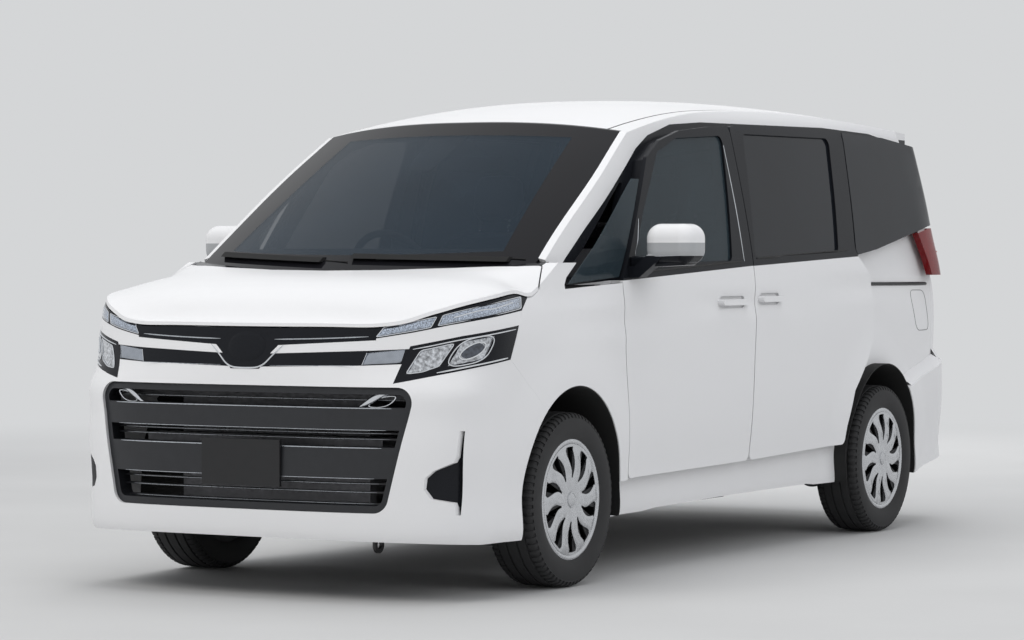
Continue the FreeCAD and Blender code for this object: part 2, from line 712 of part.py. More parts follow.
def bodySidePanel():
    """Side frame: outer skin, the frame behind the doors, roof rail, pillars and sill."""
    outer = sideSlab(0, doorFlangeDepth).common(sidePrism(sideOuterShares))
    for outline in (frontDoorShares, slidingDoorShares):
        outer = outer.cut(sidePrism(outline, van.panelGap, doorRadius))
    inner = sideSlab(doorFlangeDepth, van.flangeWall).common(sidePrism(sideInnerShares))
    for outline in (frontDoorShares, slidingDoorShares):
        inner = inner.cut(sidePrism(outline, -van.flangeLap, doorRadius))
    bracketDepth = van.fenderWall + van.seatGap
    bracket = sideSlab(bracketDepth, doorFlangeDepth - bracketDepth).common(sidePrism(fenderBracketShares))
    panel = outer.fuse(inner).fuse(bracket)
    panel = panel.cut(behindScreen).cut(overRoof).cut(belowSill)
    for arch in (frontArch, rearArch):
        panel = panel.cut(arch)
    for outline in (quarterGlassShares, cornerGlassShares):
        recess = sidePrism(outline).common(outsideOf(van.glassWall + van.seatGap))
        panel = panel.cut(recess)
    panel = panel.cut(sidePrism(quarterGlassShares, -van.glassSeat)).cut(sidePrism(cornerGlassShares, -van.cornerSeat))
    lampRecess = tailLampCut.common(outsideOf(lampDepth + van.seatGap))
    railSlot = sidePrism(slideRailShares).common(outsideOf(van.railDepth))
    return panel.cut(lampRecess).cut(railSlot).cut(tailgateCut)


sidePanel = bodySidePanel()
fuelRadius = van.flangeLap
fuelSeam = sidePrism(fuelDoorShares, van.seamWidth, fuelRadius).cut(sidePrism(fuelDoorShares, 0, fuelRadius))
keep("body_side_left", sidePanel.cut(fuelSeam.common(outsideOf(van.seamWidth))))
keep("body_side_right", mirrored(sidePanel))

tailLamp = sideSlab(0, lampDepth).common(sidePrism(tailLampShares, 0, 0, lampInner)).cut(tailgateCut)
keep("tail_lamps", *bothSides(tailLamp))


def pullHandle(door, front, rear, height):
    """Door with a bar handle on two feet over a bowl in its skin."""
    rise = van.handleHeight / van.bodyHeight / 2
    foot = van.handleFoot / van.wheelbase
    low = height - rise
    high = height + rise

    def block(start, end, margin=0):
        outline = [(start, low), (end, low), (end, high), (start, high)]
        return sidePrism(outline, margin, van.handleHeight / 2 + margin)

    bar = sideSlab(-van.handleReach, van.handleWall).common(block(front, rear))
    stand = sideSlab(-van.handleReach, van.handleReach + van.hemWall)
    bowl = block(front + foot, rear - foot, van.handleHeight / 2).common(outsideOf(van.handleBowl))
    door = door.cut(bowl).fuse(bar)
    for start in (front, rear - foot):
        door = door.fuse(stand.common(block(start, start + foot)))
    return door


def doorPanel(outline, glassOutline, handleSpanShares, handleShare):
    skin = sideSlab(0, van.hemWall).common(sidePrism(outline, 0, doorRadius))
    inner = sideSlab(van.hemWall, van.doorWall - van.hemWall)
    door = skin.fuse(inner.common(sidePrism(outline, -van.hemLap, doorRadius)))
    door = door.cut(sidePrism(glassOutline, 0, doorRadius))
    return pullHandle(door, handleSpanShares[0], handleSpanShares[1], handleShare)


def doorGlass(glassOutline):
    return sideSlab(van.glassDepth, van.glassWall).common(sidePrism(glassOutline, -van.seatGap, doorRadius))


def flushGlass(outline):
    return sideSlab(0, van.glassWall).common(sidePrism(outline, -van.seatGap))


frontDoor = doorPanel(frontDoorShares, frontGlassShares, (1.4230, 1.5150), 0.5480)
slidingDoor = doorPanel(slidingDoorShares, slidingGlassShares, (1.5530, 1.6290), 0.5530)
frontGlass = doorGlass(frontGlassShares)
keep("front_door_left", frontDoor)
keep("front_door_right", mirrored(frontDoor))
keep("front_door_glass_left", frontGlass)
keep("front_door_glass_right", mirrored(frontGlass))
keep("sliding_doors", *bothSides(slidingDoor))
keep("sliding_door_glass", *bothSides(doorGlass(slidingGlassShares)))
quarterGlass = flushGlass(quarterGlassShares).cut(tailgateCut)
quarterGlass = quarterGlass.cut(sidePrism(slidingDoorShares, van.panelGap, doorRadius))
keep("rear_quarter_glass", *bothSides(quarterGlass))
keep("corner_glass", *bothSides(flushGlass(cornerGlassShares)))

# Front end

frontLow = up(0.1019)
frontHigh = up(0.6434)
frontOuter = wrapSolid(0, frontLow, frontHigh, True)
frontInner = wrapSolid(van.bumperWall, frontLow - van.overrun, frontHigh + van.overrun, True)
frontShell = frontOuter.cut(frontInner)
hoodRearShares = [(0.8925, 0.8867), (0.8092, 0.826), (0.5780, 0.7265), (0.2890, 0.6436), (0.0000, 0.616)]
hoodHalfShares = [(1.1561, -0.1133), (1.1561, 0.7099), (0.9688, 0.7155)] + hoodRearShares
hoodPlanShares = hoodHalfShares[:-1] + [hoodHalfShares[-1]] + [(-a, b) for a, b in reversed(hoodHalfShares[:-1])]
hoodPlan = planPrism(hoodPlanShares)
hoodSkin = hoodFace.extrude(vector(0, 0, -van.hoodWall))
hood = hoodSkin.common(hoodPlan).common(frontOuter)
keep("hood", hood)

underHood = van.hoodWall + van.panelGap
overHood = aboveHood(underHood)
fenderSkin = sideSlab(0, van.fenderWall).common(sidePrism(fenderShares))
fenderTopShares = [(1.1098, 0.7155), (0.9688, 0.7155), (0.8925, 0.8867), (0.8925, 0.9586), (1.1098, 0.9586)]
fenderTop = hoodFace.extrude(vector(0, 0, -van.fenderWall)).common(planPrism(fenderTopShares))
fenderTop = fenderTop.cut(outsideOf(van.fenderWall / 2)).common(aheadOfScreen(-van.seatGap))
hoodOpening = planPrism(hoodPlanShares, van.panelGap).common(overHood)
upperLampPlaces = [
    (0.5593, 0.1021, 0.4917), (0.7170, 0.1557, 0.5040), (0.8505, 0.2283, 0.5182),
    (0.9716, 0.5899, 0.5434), (0.9514, 0.6937, 0.5805), (0.9480, 0.7155, 0.6434),
    (0.6200, 0.1300, 0.6434), (0.5806, 0.1159, 0.5171),
]
lowerLampPlaces = [
    (0.6900, 0.0700, 0.4102), (0.8251, 0.1349, 0.4233), (0.9342, 0.2854, 0.4385),
    (0.9803, 0.4861, 0.4517), (0.9814, 0.5501, 0.5159), (0.8894, 0.2612, 0.4979),
    (0.7196, 0.1470, 0.4792),
]
lampShell = frontOuter.cut(wrapSolid(van.lampWall, frontLow - van.overrun, frontHigh + van.overrun, True))
lampShell = lampShell.cut(overHood)
lampFront = planPrism([(0.3468, -0.1685), (1.1561, -0.1685), (1.1561, 0.826), (0.3468, 0.826)])
upperLamp = lampShell.common(cornerPrism(upperLampPlaces)).common(lampFront)
lowerLamp = lampShell.common(cornerPrism(lowerLampPlaces)).common(lampFront)
upperLampCut = cornerPrism(upperLampPlaces, van.seatGap).common(lampFront)
lowerLampCut = cornerPrism(lowerLampPlaces, van.seatGap).common(lampFront)
bumperSideShares = [
    (-0.058, 0.0643), (0.9365, 0.0643), (0.8039, 0.3255), (0.6937, 0.3771), (0.5968, 0.4154),
    (0.4861, 0.4517), (0.5501, 0.5159), (0.5899, 0.5434), (0.6937, 0.5805), (0.6937, 0.6595),
    (-0.058, 0.6595),
]
fender = fenderSkin.cut(aboveHood(0)).fuse(fenderTop).cut(hoodOpening).cut(frontArch)
fender = fender.cut(sidePrism(sideOuterShares, van.panelGap)).cut(sidePrism(frontDoorShares, van.panelGap, doorRadius))
for cutter in (sidePrism(bumperSideShares), upperLampCut, lowerLampCut):
    fender = fender.cut(cutter)
fender = max(fender.Solids, key=lambda solid: solid.Volume)
keep("fenders", *bothSides(fender))
keep("headlamps", *bothSides(upperLamp), *bothSides(lowerLamp))

upperStripShares = [
    (-0.5838, 0.4900), (-0.1500, 0.4791), (0.1500, 0.4791), (0.5838, 0.4900), (0.5838, 0.5898),
    (-0.5838, 0.5898),
]
lowerStripShares = [
    (-0.7300, 0.4467), (-0.5460, 0.4430), (0.0000, 0.4375), (0.5460, 0.4430), (0.7300, 0.4467),
    (0.7300, 0.4744), (0.5800, 0.4708), (0.1170, 0.4630), (-0.1170, 0.4630), (-0.5800, 0.4708),
    (-0.7300, 0.4744),
]
plinthShares = [
    (-0.0700, 0.4340), (0.0700, 0.4340), (0.1180, 0.4640), (0.1540, 0.4799), (0.1000, 0.5170),
    (0.1000, 0.5898), (-0.1000, 0.5898), (-0.1000, 0.5170), (-0.1540, 0.4799), (-0.1180, 0.4640),
]
grilleShares = [
    (-0.6600, 0.1690), (0.6600, 0.1690), (0.7760, 0.4030), (-0.7760, 0.4030),
]
fogShares = [
    (0.9000, 0.1655), (0.9120, 0.1655), (0.9260, 0.3220), (0.9130, 0.3220), (0.9050, 0.2742),
    (0.8970, 0.2635), (0.8350, 0.2481), (0.8090, 0.2350), (0.8040, 0.2151), (0.8270, 0.1968),
    (0.8930, 0.1888), (0.8980, 0.1793),
]
grilleRadius = across(0.0636)
stripShell = frontShell.cut(overHood)
strips = stripShell.common(frontPrism(upperStripShares))
strips = strips.fuse(stripShell.common(frontPrism(lowerStripShares)))
strips = strips.fuse(stripShell.common(frontPrism(plinthShares)))
for cutter in (upperLampCut, lowerLampCut):
    strips = strips.cut(cutter).cut(mirrored(cutter))
keep("upper_grille", strips)

bumperBottomShares = [(-0.058, 0.0536), (0.7155, 0.0536), (0.7155, 0.1051), (0.3287, 0.1072), (-0.058, 0.1190)]
bumperSide = sidePrism(bumperSideShares, -van.seatGap)
bumperSpan = bumperSide.fuse(mirrored(bumperSide))
bumper = frontShell.common(bumperSpan).cut(overHood)
bottomCut = sidePrism(bumperBottomShares)
for cutter in (upperLampCut, lowerLampCut, bottomCut, frontArch, frontPrism(fogShares)):
    bumper = bumper.cut(cutter).cut(mirrored(cutter))
for outline in (upperStripShares, lowerStripShares, plinthShares):
    bumper = bumper.cut(frontPrism(outline, van.seatGap))
bumper = bumper.cut(frontPrism(grilleShares, van.seatGap, grilleRadius))
bumper = sorted(bumper.Solids, key=lambda solid: solid.Volume)[-3:]  # the bumper and the band on each side
keep("front_bumper", *bumper)

fogOuter = wrapSolid(van.fogDepth, frontLow - van.overrun, frontHigh + van.overrun, True)
keep("fog_recesses", *bothSides(fogOuter.cut(frontInner).common(frontPrism(fogShares, -van.seatGap))))

grilleInset = van.grilleRecess + van.seatGap
grilleOuter = wrapSolid(grilleInset, frontLow, frontHigh, True)
grilleInner = wrapSolid(van.grilleDepth, frontLow - van.overrun, frontHigh + van.overrun, True)
grilleBand = grilleOuter.cut(grilleInner)
grilleOpening = frontPrism(grilleShares, 0, grilleRadius)
grilleFilled = grilleBand.common(grilleOpening)
ribFilled = wrapSolid(van.ribRecess, frontLow, frontHigh, True).cut(grilleInner).common(grilleOpening)
grilleBarShares = [(0.3233, 0.3651), (0.2332, 0.2912)]
grilleRibShares = [0.1850, 0.2064, 0.2225, 0.3056, 0.3164, 0.3786]
ribHalfShare = van.grilleRibWall / 2 / van.bodyHeight


def level(low, high):
    """Prism over the whole front between two shares of the height."""
    return frontPrism([(-1, low), (1, low), (1, high), (-1, high)])


pieces = [grilleFilled.common(level(low, high)) for low, high in grilleBarShares]
pieces += [ribFilled.common(level(middle - ribHalfShare, middle + ribHalfShare)) for middle in grilleRibShares]
grille = grilleFilled.cut(frontPrism(grilleShares, -van.bumperWall, grilleRadius)).fuse(pieces)
plateMiddle = up(0.2574)
plateFront = frontFace(plateMiddle) + grilleInset - van.plateWall
plateHalf = van.plateHeight / 2


def plateBlock(margin):
    return box(
        (-van.plateWidth / 2 - margin, plateFront, plateMiddle - plateHalf - margin),
        (van.plateWidth / 2 + margin, plateFront + van.plateWall + margin, plateMiddle + plateHalf + margin),
    )


keep("lower_grille", grille.cut(plateBlock(van.seatGap)))
keep("front_plate", plateBlock(0))

# Glass and roof

screenSlab = screenFace.extrude(screenInward * van.glassWall)
screenBottomShares = [(-1.0983, 0.6327), (0.0000, 0.6145), (1.0983, 0.6327), (1.0983, 0.9866), (-1.0983, 0.9866)]
sideClear = sideDepth + van.seatGap
windscreen = screenSlab.common(frontPrism(screenBottomShares, end=bodyLength / 4)).cut(overRoof)
windscreen = betweenSides(windscreen, sideClear)
keep("windscreen", windscreen)

roofSlab = roofFace.extrude(vector(0, 0, -van.roofWall))
roofShares = [(-1.0405, 1.1553), (1.0405, 1.1553), (1.0405, 2.6888), (-1.0405, 2.6888)]
roof = roofSlab.common(planPrism(roofShares)).cut(aheadOfScreen(van.glassWall + van.seatGap))
roof = betweenSides(roof, sideClear)
roof = max(roof.Solids, key=lambda solid: solid.Volume)
keep("roof_panel", roof)

cowlShares = hoodHalfShares[3:] + [(-a, b) for a, b in reversed(hoodHalfShares[3:-1])]
cowlShares = [(a, b) for a, b in cowlShares] + [(-0.8925, 1.05), (0.8925, 1.05)]
cowlDrop = van.panelGap
cowl = hoodFace.translated(vector(0, 0, -cowlDrop)).extrude(vector(0, 0, -van.hoodWall))
cowl = cowl.common(planPrism(cowlShares, -van.panelGap)).common(aheadOfScreen(-van.seatGap))
cowl = max(cowl.Solids, key=lambda solid: solid.Volume)
keep("cowl_panel", cowl)

# Rear end

rearLow = up(0.1180)
rearHigh = up(0.9973)
rearOuter = wrapSolid(0, rearLow, rearHigh, False)
rearBumperInner = wrapSolid(van.bumperWall, rearLow - van.overrun, rearHigh + van.overrun, False)
tailgateInner = wrapSolid(van.tailgateWall, rearLow - van.overrun, rearHigh + van.overrun, False)
tailgateBlock = frontPrism(tailgateShares, 0, 0, tailgateStart, rearTip + van.overrun)
tailgate = rearOuter.cut(tailgateInner).common(tailgateBlock).cut(overRoof)
spoilerColumns = 8
spoilerRows = 6
spoilerShares = [(-0.6844, 2.6941), (0.6844, 2.6941), (0.6647, 2.9495), (0.5780, 2.9973), (-0.5780, 2.9973), (-0.6647, 2.9495)]
spoilerPlaces = [(along(2.6941), van.spoilerRoot), (along(2.8963), between(van.spoilerWall, van.spoilerRoot, 0.5)), (rearTip, van.spoilerWall)]


def spoilerPoint(u, v):
    place = roofPoint(u, between(spoilerStartShare, 1, v))
    return place - vector(0, 0, smooth(spoilerPlaces, place.y))


spoilerStartShare = (along(2.6303) - roofFrontLimit) / (rearTip - roofFrontLimit)
underSpoiler = gridSurface(spoilerPoint, spoilerColumns, spoilerRows).toShape().extrude(vector(0, 0, -halfWidth))
spoiler = roofFace.extrude(vector(0, 0, -van.spoilerRoot)).common(planPrism(spoilerShares)).cut(underSpoiler)
tailgateTopShares = [(-1.0405, 2.0984), (1.0405, 2.0984), (1.0405, 2.6941), (-1.0405, 2.6941)]
tailgate = tailgate.fuse(spoiler).cut(planPrism(tailgateTopShares))
rearGlassShares = [(-0.6936, 0.6327), (0.6936, 0.6327), (0.6474, 0.9062), (-0.6474, 0.9062)]
rearGlassCut = frontPrism(rearGlassShares, 0, doorRadius, tailgateStart, rearTip + van.overrun)
glassInner = wrapSolid(van.glassWall + van.seatGap, rearLow - van.overrun, rearHigh + van.overrun, False)
tailgate = tailgate.cut(rearGlassCut.cut(glassInner))
tailgate = tailgate.cut(frontPrism(rearGlassShares, -van.glassSeat, doorRadius, tailgateStart, rearTip + van.overrun))
rearGlass = rearOuter.cut(wrapSolid(van.glassWall, rearLow - van.overrun, rearHigh + van.overrun, False))
rearGlass = rearGlass.common(frontPrism(rearGlassShares, -van.seatGap, doorRadius, tailgateStart, rearTip + van.overrun))
tailgate = max(tailgate.Solids, key=lambda solid: solid.Volume)
keep("tailgate", tailgate)
keep("tailgate_glass", rearGlass)

rearBumperShares = [
    (2.0984, 0.0804), (2.4176, 0.1265), (2.6303, 0.1437), (3.0559, 0.1705), (3.0559, 0.3995),
    (2.8473, 0.3968), (2.2686, 0.3298), (1.9974, 0.3003),
]
rearBumperSide = sidePrism(rearBumperShares, -van.seatGap)
rearBumper = rearOuter.cut(rearBumperInner).common(rearBumperSide.fuse(mirrored(rearBumperSide)))
rearBumper = rearBumper.cut(tailgateCut)
rearBumper = rearBumper.cut(rearArch).cut(mirrored(rearArch))
rearBumper = max(rearBumper.Solids, key=lambda solid: solid.Volume)
keep("rear_bumper", rearBumper)


# Floor, bulkhead and wheelhouses

frontHouse = archPrism(frontAxle, 0, van.linerInner - van.seatGap)
rearHouse = archPrism(rearAxle, 0, van.rearLinerInner - van.seatGap)
houses = bothSides(frontHouse) + bothSides(rearHouse)


def clearOfHouses(shape):
    for house in houses:
        shape = shape.cut(house)
    return shape


def acrossVan(low, high):
    """Box over the full width between two (station place, height) corners."""
    return box((-halfWidth, low[0], low[1]), (halfWidth, high[0], high[1]))


bulkheadPlace = along(1.1132)
riserPlace = along(1.8465)
deckJoin = along(2.3644)
dashBottom = up(0.3753)
floorTop = van.floorHeight + van.floorWall
deckTop = van.rearFloorHeight + van.floorWall
floorPan = acrossVan((bulkheadPlace, van.floorHeight), (riserPlace + van.floorWall, floorTop))
floorPan = floorPan.fuse(acrossVan((bulkheadPlace, van.floorHeight), (bulkheadPlace + van.floorWall, dashBottom - van.seatGap)))
floorPan = floorPan.fuse(acrossVan((riserPlace, van.floorHeight), (riserPlace + van.floorWall, deckTop)))
floorPan = floorPan.fuse(acrossVan((riserPlace, van.rearFloorHeight), (deckJoin, deckTop)))
rearInside = wrapSolid(van.tailgateWall + van.panelGap, rearLow - van.overrun, rearHigh + van.overrun, False)
endInner = wrapSolid(van.tailgateWall + van.floorWall, rearLow - van.overrun, rearHigh + van.overrun, False)
endPlace = along(2.7367)
endHalf = across(0.6936)
endPanel = box((-endHalf, endPlace, van.rearFloorHeight), (endHalf, rearTip, up(0.3646)))
floorPan = floorPan.fuse(rearInside.common(acrossVan((deckJoin, van.rearFloorHeight), (rearTip, deckTop))))
floorPan = floorPan.fuse(rearInside.cut(endInner).common(endPanel))
floorPan = clearOfHouses(betweenSides(floorPan, sideClear))
strikerReach = wrapSolid(van.tailgateWall + van.seatGap, rearLow - van.overrun, rearHigh + van.overrun, False)
strikerBox = box((-van.latchWidth / 2, endPlace, up(0.3432)), (van.latchWidth / 2, rearTip, up(0.3646)))
keep("floor_pan", floorPan.fuse(strikerReach.cut(endInner).common(strikerBox)))


def wheelhouseLiner(axle, inner):
    outer = archPrism(axle, -van.seatGap, inner)
    hollow = archPrism(axle, -van.seatGap - van.linerWall, inner + van.linerWall)
    liner = outer.cut(hollow).cut(outsideOf(van.linerWall))
    below = box((0, -bodyLength, -bodyLength), (2 * halfWidth, bodyLength, van.sillBottom + van.linerClear))
    window = box((0, -bodyLength, 0), (inner + van.linerWall, bodyLength, van.linerBottom))
    return liner.cut(below).cut(window)


frontLiner = wheelhouseLiner(frontAxle, van.linerInner)
rearLiner = wheelhouseLiner(rearAxle, van.rearLinerInner)
keep("wheelhouse_liners", *bothSides(frontLiner), *bothSides(rearLiner))

# Chassis

kingpin = van.frontTrack / 2 - van.kingpinInset
armBottom = van.armTop - van.armWall
crossTop = van.engineBottom - van.seatGap
railTop = van.floorHeight - van.seatGap
railRear = along(1.1623)
radiatorPlace = along(0.2514)
railFront = radiatorPlace + van.radiatorWall + van.seatGap
crossmember = box(
    (-van.crossHalf, frontAxle - van.crossLength / 2, van.crossBottom),
    (van.crossHalf, frontAxle + van.crossLength / 2, crossTop),
)
rail = box((van.crossHalf - van.linerWall, railFront, van.railBottom - van.linerWall), (van.crossHalf + van.railWidth, railRear, railTop))
arm = box((van.crossHalf - van.linerWall, frontAxle - van.armWidth / 2, armBottom), (kingpin, frontAxle + van.armWidth / 2, van.armTop))
ball = Part.makeCylinder(van.ballRadius, van.armWall, vector(kingpin, frontAxle, armBottom))
leftHalf = rail.fuse(arm).fuse(ball)
eyePlace = vector(van.crossHalf + van.railWidth / 2 - van.towEyeWall / 2, railFront + van.towEyeOuter, van.towEyeHeight)
eye = Part.makeCylinder(van.towEyeOuter, van.towEyeWall, eyePlace, vector(1, 0, 0))
eyeLow = eyePlace - vector(0, van.towEyeOuter, 0)
eyeHigh = eyePlace + vector(van.towEyeWall, van.towEyeOuter, van.railBottom - van.towEyeHeight)
eye = eye.fuse(box(eyeLow, eyeHigh))
eyeHole = Part.makeCylinder(van.towEyeRadius, van.towEyeWall, eyePlace, vector(1, 0, 0))
subframe = crossmember.fuse(leftHalf).fuse(mirrored(leftHalf)).fuse(eye).cut(eyeHole)
keep("front_subframe", subframe)

engineFront = along(0.4392)
engine = box(
    (-van.engineWidth / 2, engineFront, van.engineBottom),
    (van.engineWidth / 2, engineFront + van.engineLength, van.engineTop),
)
keep("engine_block", engine)

topBarHalf = across(0.7168)
radiator = box(
    (-van.radiatorWidth / 2, radiatorPlace, van.radiatorBottom),
    (van.radiatorWidth / 2, radiatorPlace + van.radiatorWall, van.radiatorTop),
)
topBar = box((-topBarHalf, radiatorPlace, van.radiatorTop - van.radiatorWall), (topBarHalf, radiatorPlace + van.radiatorWall, van.radiatorTop))
beamPlace = radiatorPlace - van.bumperBeamDepth
crashBeam = box(
    (-van.bumperBeamWidth / 2, beamPlace, van.bumperBeamMiddle - van.bumperBeamHeight / 2),
    (van.bumperBeamWidth / 2, radiatorPlace, van.bumperBeamMiddle + van.bumperBeamHeight / 2),
)
latchPost = box((-van.latchWidth / 2, radiatorPlace, van.radiatorTop), (van.latchWidth / 2, radiatorPlace + van.radiatorWall, van.bodyHeight))
latchPost = latchPost.cut(aboveHood(van.hoodWall + van.seatGap))
keep("radiator_support", radiator.fuse(topBar).fuse(crashBeam).fuse(latchPost))

deckUnder = van.rearFloorHeight - van.seatGap
rearKnuckle = van.rearTrack / 2 - van.kingpinInset
beamTop = van.beamBottom + van.beamHeight
axleBeam = box(
    (-rearKnuckle, rearAxle - van.beamWidth / 2, van.beamBottom),
    (rearKnuckle, rearAxle + van.beamWidth / 2, beamTop),
)
spindleEnd = van.rearTrack / 2 + van.spindleReach
rearSpindle = Part.makeCylinder(van.spindleRadius, 2 * spindleEnd, vector(-spindleEnd, rearAxle, hubHeight), vector(1, 0, 0))
trailFront = along(1.8219)
trailInner = van.trailArmOffset - van.trailArmWidth
trailArm = box((trailInner, trailFront, railTop - van.trailArmWall), (van.trailArmOffset, rearAxle, railTop))
springMiddle = trailInner + van.springRadius / 2
spring = Part.makeCylinder(van.springRadius, deckUnder - beamTop + van.trailArmWall, vector(springMiddle, rearAxle, beamTop - van.trailArmWall))
leftHalf = trailArm.fuse(spring)
keep("rear_axle", axleBeam.fuse(rearSpindle).fuse(leftHalf).fuse(mirrored(leftHalf)))

tankFront = along(1.6044)
tank = box((-van.tankWidth / 2, tankFront, van.tankBottom), (van.tankWidth / 2, tankFront + van.tankLength, railTop))
keep("fuel_tank", tank)

pipeFront = along(1.1728)
mufflerFront = along(2.1835)
mufflerRear = along(2.6516)
pipeRear = along(2.7899)
mufflerHeight = van.pipeHeight + (van.mufflerRadius - van.pipeRadius) / 2
pipe = Part.makeCylinder(van.pipeRadius, pipeRear - pipeFront, vector(van.pipeOffset, pipeFront, van.pipeHeight), vector(0, 1, 0))
muffler = Part.makeCylinder(van.mufflerRadius, mufflerRear - mufflerFront, vector(van.pipeOffset, mufflerFront, mufflerHeight), vector(0, 1, 0))
exhaust = pipe.fuse(muffler)
hangerShares = [1.2254, 1.5588, 2.2473, 2.5878]
for hanger in hangerShares:
    top = railTop if along(hanger) < riserPlace else deckUnder
    low = (van.pipeOffset - van.linerWall, along(hanger), van.pipeHeight)
    exhaust = exhaust.fuse(box(low, (van.pipeOffset + van.linerWall, along(hanger) + van.floorWall, top)))
keep("exhaust", exhaust)

# Cabin

dashShares = [
    (0.9696, 0.6166), (1.05, 0.6568), (1.1482, 0.6622), (1.1693, 0.6434), (1.1798, 0.5630),
    (1.1623, 0.4558), (1.1377, 0.3753), (0.9917, 0.3753),
]
dashCorners = [vector(-halfWidth, along(a), up(b)) for a, b in dashShares]
dashboard = Part.Face(roundedWire(dashCorners, van.seatEdge)).extrude(vector(van.bodyWidth, 0, 0))
dashboard = clearOfHouses(betweenSides(dashboard, sideClear))
columnTilt = math.radians(25)
columnAxis = vector(0, math.cos(columnTilt), math.sin(columnTilt))
steeringStation = 1.2605
steeringHeightShare = 0.6086
steeringMiddle = vector(-van.driverOffset, along(steeringStation), up(steeringHeightShare))
columnEnd = steeringMiddle - columnAxis * (van.steeringHubWall / 2 + van.panelGap)
column = Part.makeCylinder(van.columnRadius, van.columnLength, columnEnd, columnAxis * -1)
keep("dashboard", dashboard.fuse(column))

backrestLean = math.radians(14)
headrestSpreadShare = 0.3


def seat(middle, front, bottom, width, floor):
    """Seat with base, cushion, backrest and headrest."""
    lean = vector(0, math.sin(backrestLean), math.cos(backrestLean))
    back = vector(0, math.cos(backrestLean), -math.sin(backrestLean))
    start = vector(middle - width / 2, front, bottom)
    padTop = start + vector(0, 0, van.seatPad)
    hinge = padTop + vector(0, van.seatDepth, 0)
    top = hinge + lean * van.backrestHeight
    heel = start + vector(0, van.seatDepth + van.backrestWall, 0)
    outline = [start, padTop, hinge, top, top + back * van.backrestWall, heel]
    whole = Part.Face(roundedWire(outline, van.seatEdge)).extrude(vector(width, 0, 0))
    rest = top + back * (van.backrestWall - van.headrestWall) / 2 + lean * van.headrestGap
    rest.x = middle - van.headrestWidth / 2
    outline = [rest, rest + lean * van.headrestHeight, rest + lean * van.headrestHeight + back * van.headrestWall, rest + back * van.headrestWall]
    whole = whole.fuse(Part.Face(roundedWire(outline, van.seatEdge)).extrude(vector(van.headrestWidth, 0, 0)))
    for side in (-1, 1):
        post = rest + back * van.headrestWall / 2 - lean * van.headrestSunk
        post.x = middle + side * van.headrestWidth * headrestSpreadShare
        whole = whole.fuse(Part.makeCylinder(van.headrestPost / 2, van.headrestPostLength, post, lean))
    low = (middle - van.seatBaseWidth / 2, front + van.seatPad, floor + van.seatGap)
    high = (middle + van.seatBaseWidth / 2, front + van.seatDepth, bottom + van.seatPad / 2)
    return whole.fuse(box(low, high))


frontSeatStation = 1.2991
secondSeatStation = 1.664
thirdSeatStation = 1.9518
frontSeat = seat(van.driverOffset, along(frontSeatStation), van.seatHeight, van.seatWidth, floorTop)
secondSeat = seat(van.driverOffset, along(secondSeatStation), van.seatHeight, van.seatWidth, floorTop)
thirdSeat = seat(van.benchOffset, along(thirdSeatStation), van.benchHeight, van.benchWidth, deckTop)
keep("front_seats", *bothSides(frontSeat))
keep("second_row_seats", *bothSides(secondSeat))
keep("third_row_seats", *bothSides(thirdSeat))

# Mirrors and wipers

mirrorStation = 1.1553
mirrorBottomShare = 0.6300
mirrorInner = across(1.0405)
footBottomShare = 0.6032
footTopShare = 0.6263
footRiseShares = (0.6461, 0.6515)
housing = box(
    (mirrorInner, along(mirrorStation), up(mirrorBottomShare)),
    (mirrorInner + van.mirrorWidth, along(mirrorStation) + van.mirrorDepth, up(mirrorBottomShare) + van.mirrorHeight),
)
housing = housing.makeFillet(van.mirrorEdge, housing.Edges)
footFace = [
    vector(across(0.6936), along(mirrorStation), up(footBottomShare)),
    vector(across(1.0231), along(mirrorStation), up(footBottomShare)),
    vector(across(1.1387), along(mirrorStation), up(footRiseShares[0])),
    vector(across(1.0694), along(mirrorStation), up(footRiseShares[1])),
    vector(across(1.0000), along(mirrorStation), up(footTopShare)),
    vector(across(0.6936), along(mirrorStation), up(footTopShare)),
]
foot = Part.Face(roundedWire(footFace, 0)).extrude(vector(0, van.mirrorFoot, 0))
foot = foot.translated(vector(0, van.panelGap, 0)).common(outsideOf(-van.seatGap))
mirror = housing.fuse(foot)
keep("mirror_left", mirror)
keep("mirror_right", mirrored(mirror))

wiperShares = [
    [(0.7399, 0.6359), (0.7399, 0.6456), (0.0694, 0.6520), (0.0694, 0.6424)],
    [(-0.0694, 0.6349), (-0.0694, 0.6445), (-0.7168, 0.6552), (-0.7168, 0.6456)],
]
wiperBand = screenFace.translated(screenInward * -(van.wiperWall + van.seatGap)).extrude(screenInward * van.wiperWall)
keep("wipers", *[wiperBand.common(frontPrism(outline)) for outline in wiperShares])

# Steering wheel and knuckles


def bind(thing, **formulas):
    for name, formula in formulas.items():
        thing.setExpression(name.replace("_", "."), formula)
    return thing


def primitive(kind, label, x, y, z, **formulas):
    """Part primitive whose sizes and place are bound to the sheet."""
    thing = doc.addObject(kind, label)
    thing.Label = label
    return bind(thing, Placement_Base_x=x, Placement_Base_y=y, Placement_Base_z=z, **formulas)


def joined(label, things):
    fusion = doc.addObject("Part::MultiFuse", label)
    fusion.Label = label
    fusion.Shapes = things
    nodes.append(fusion)
    return fusion


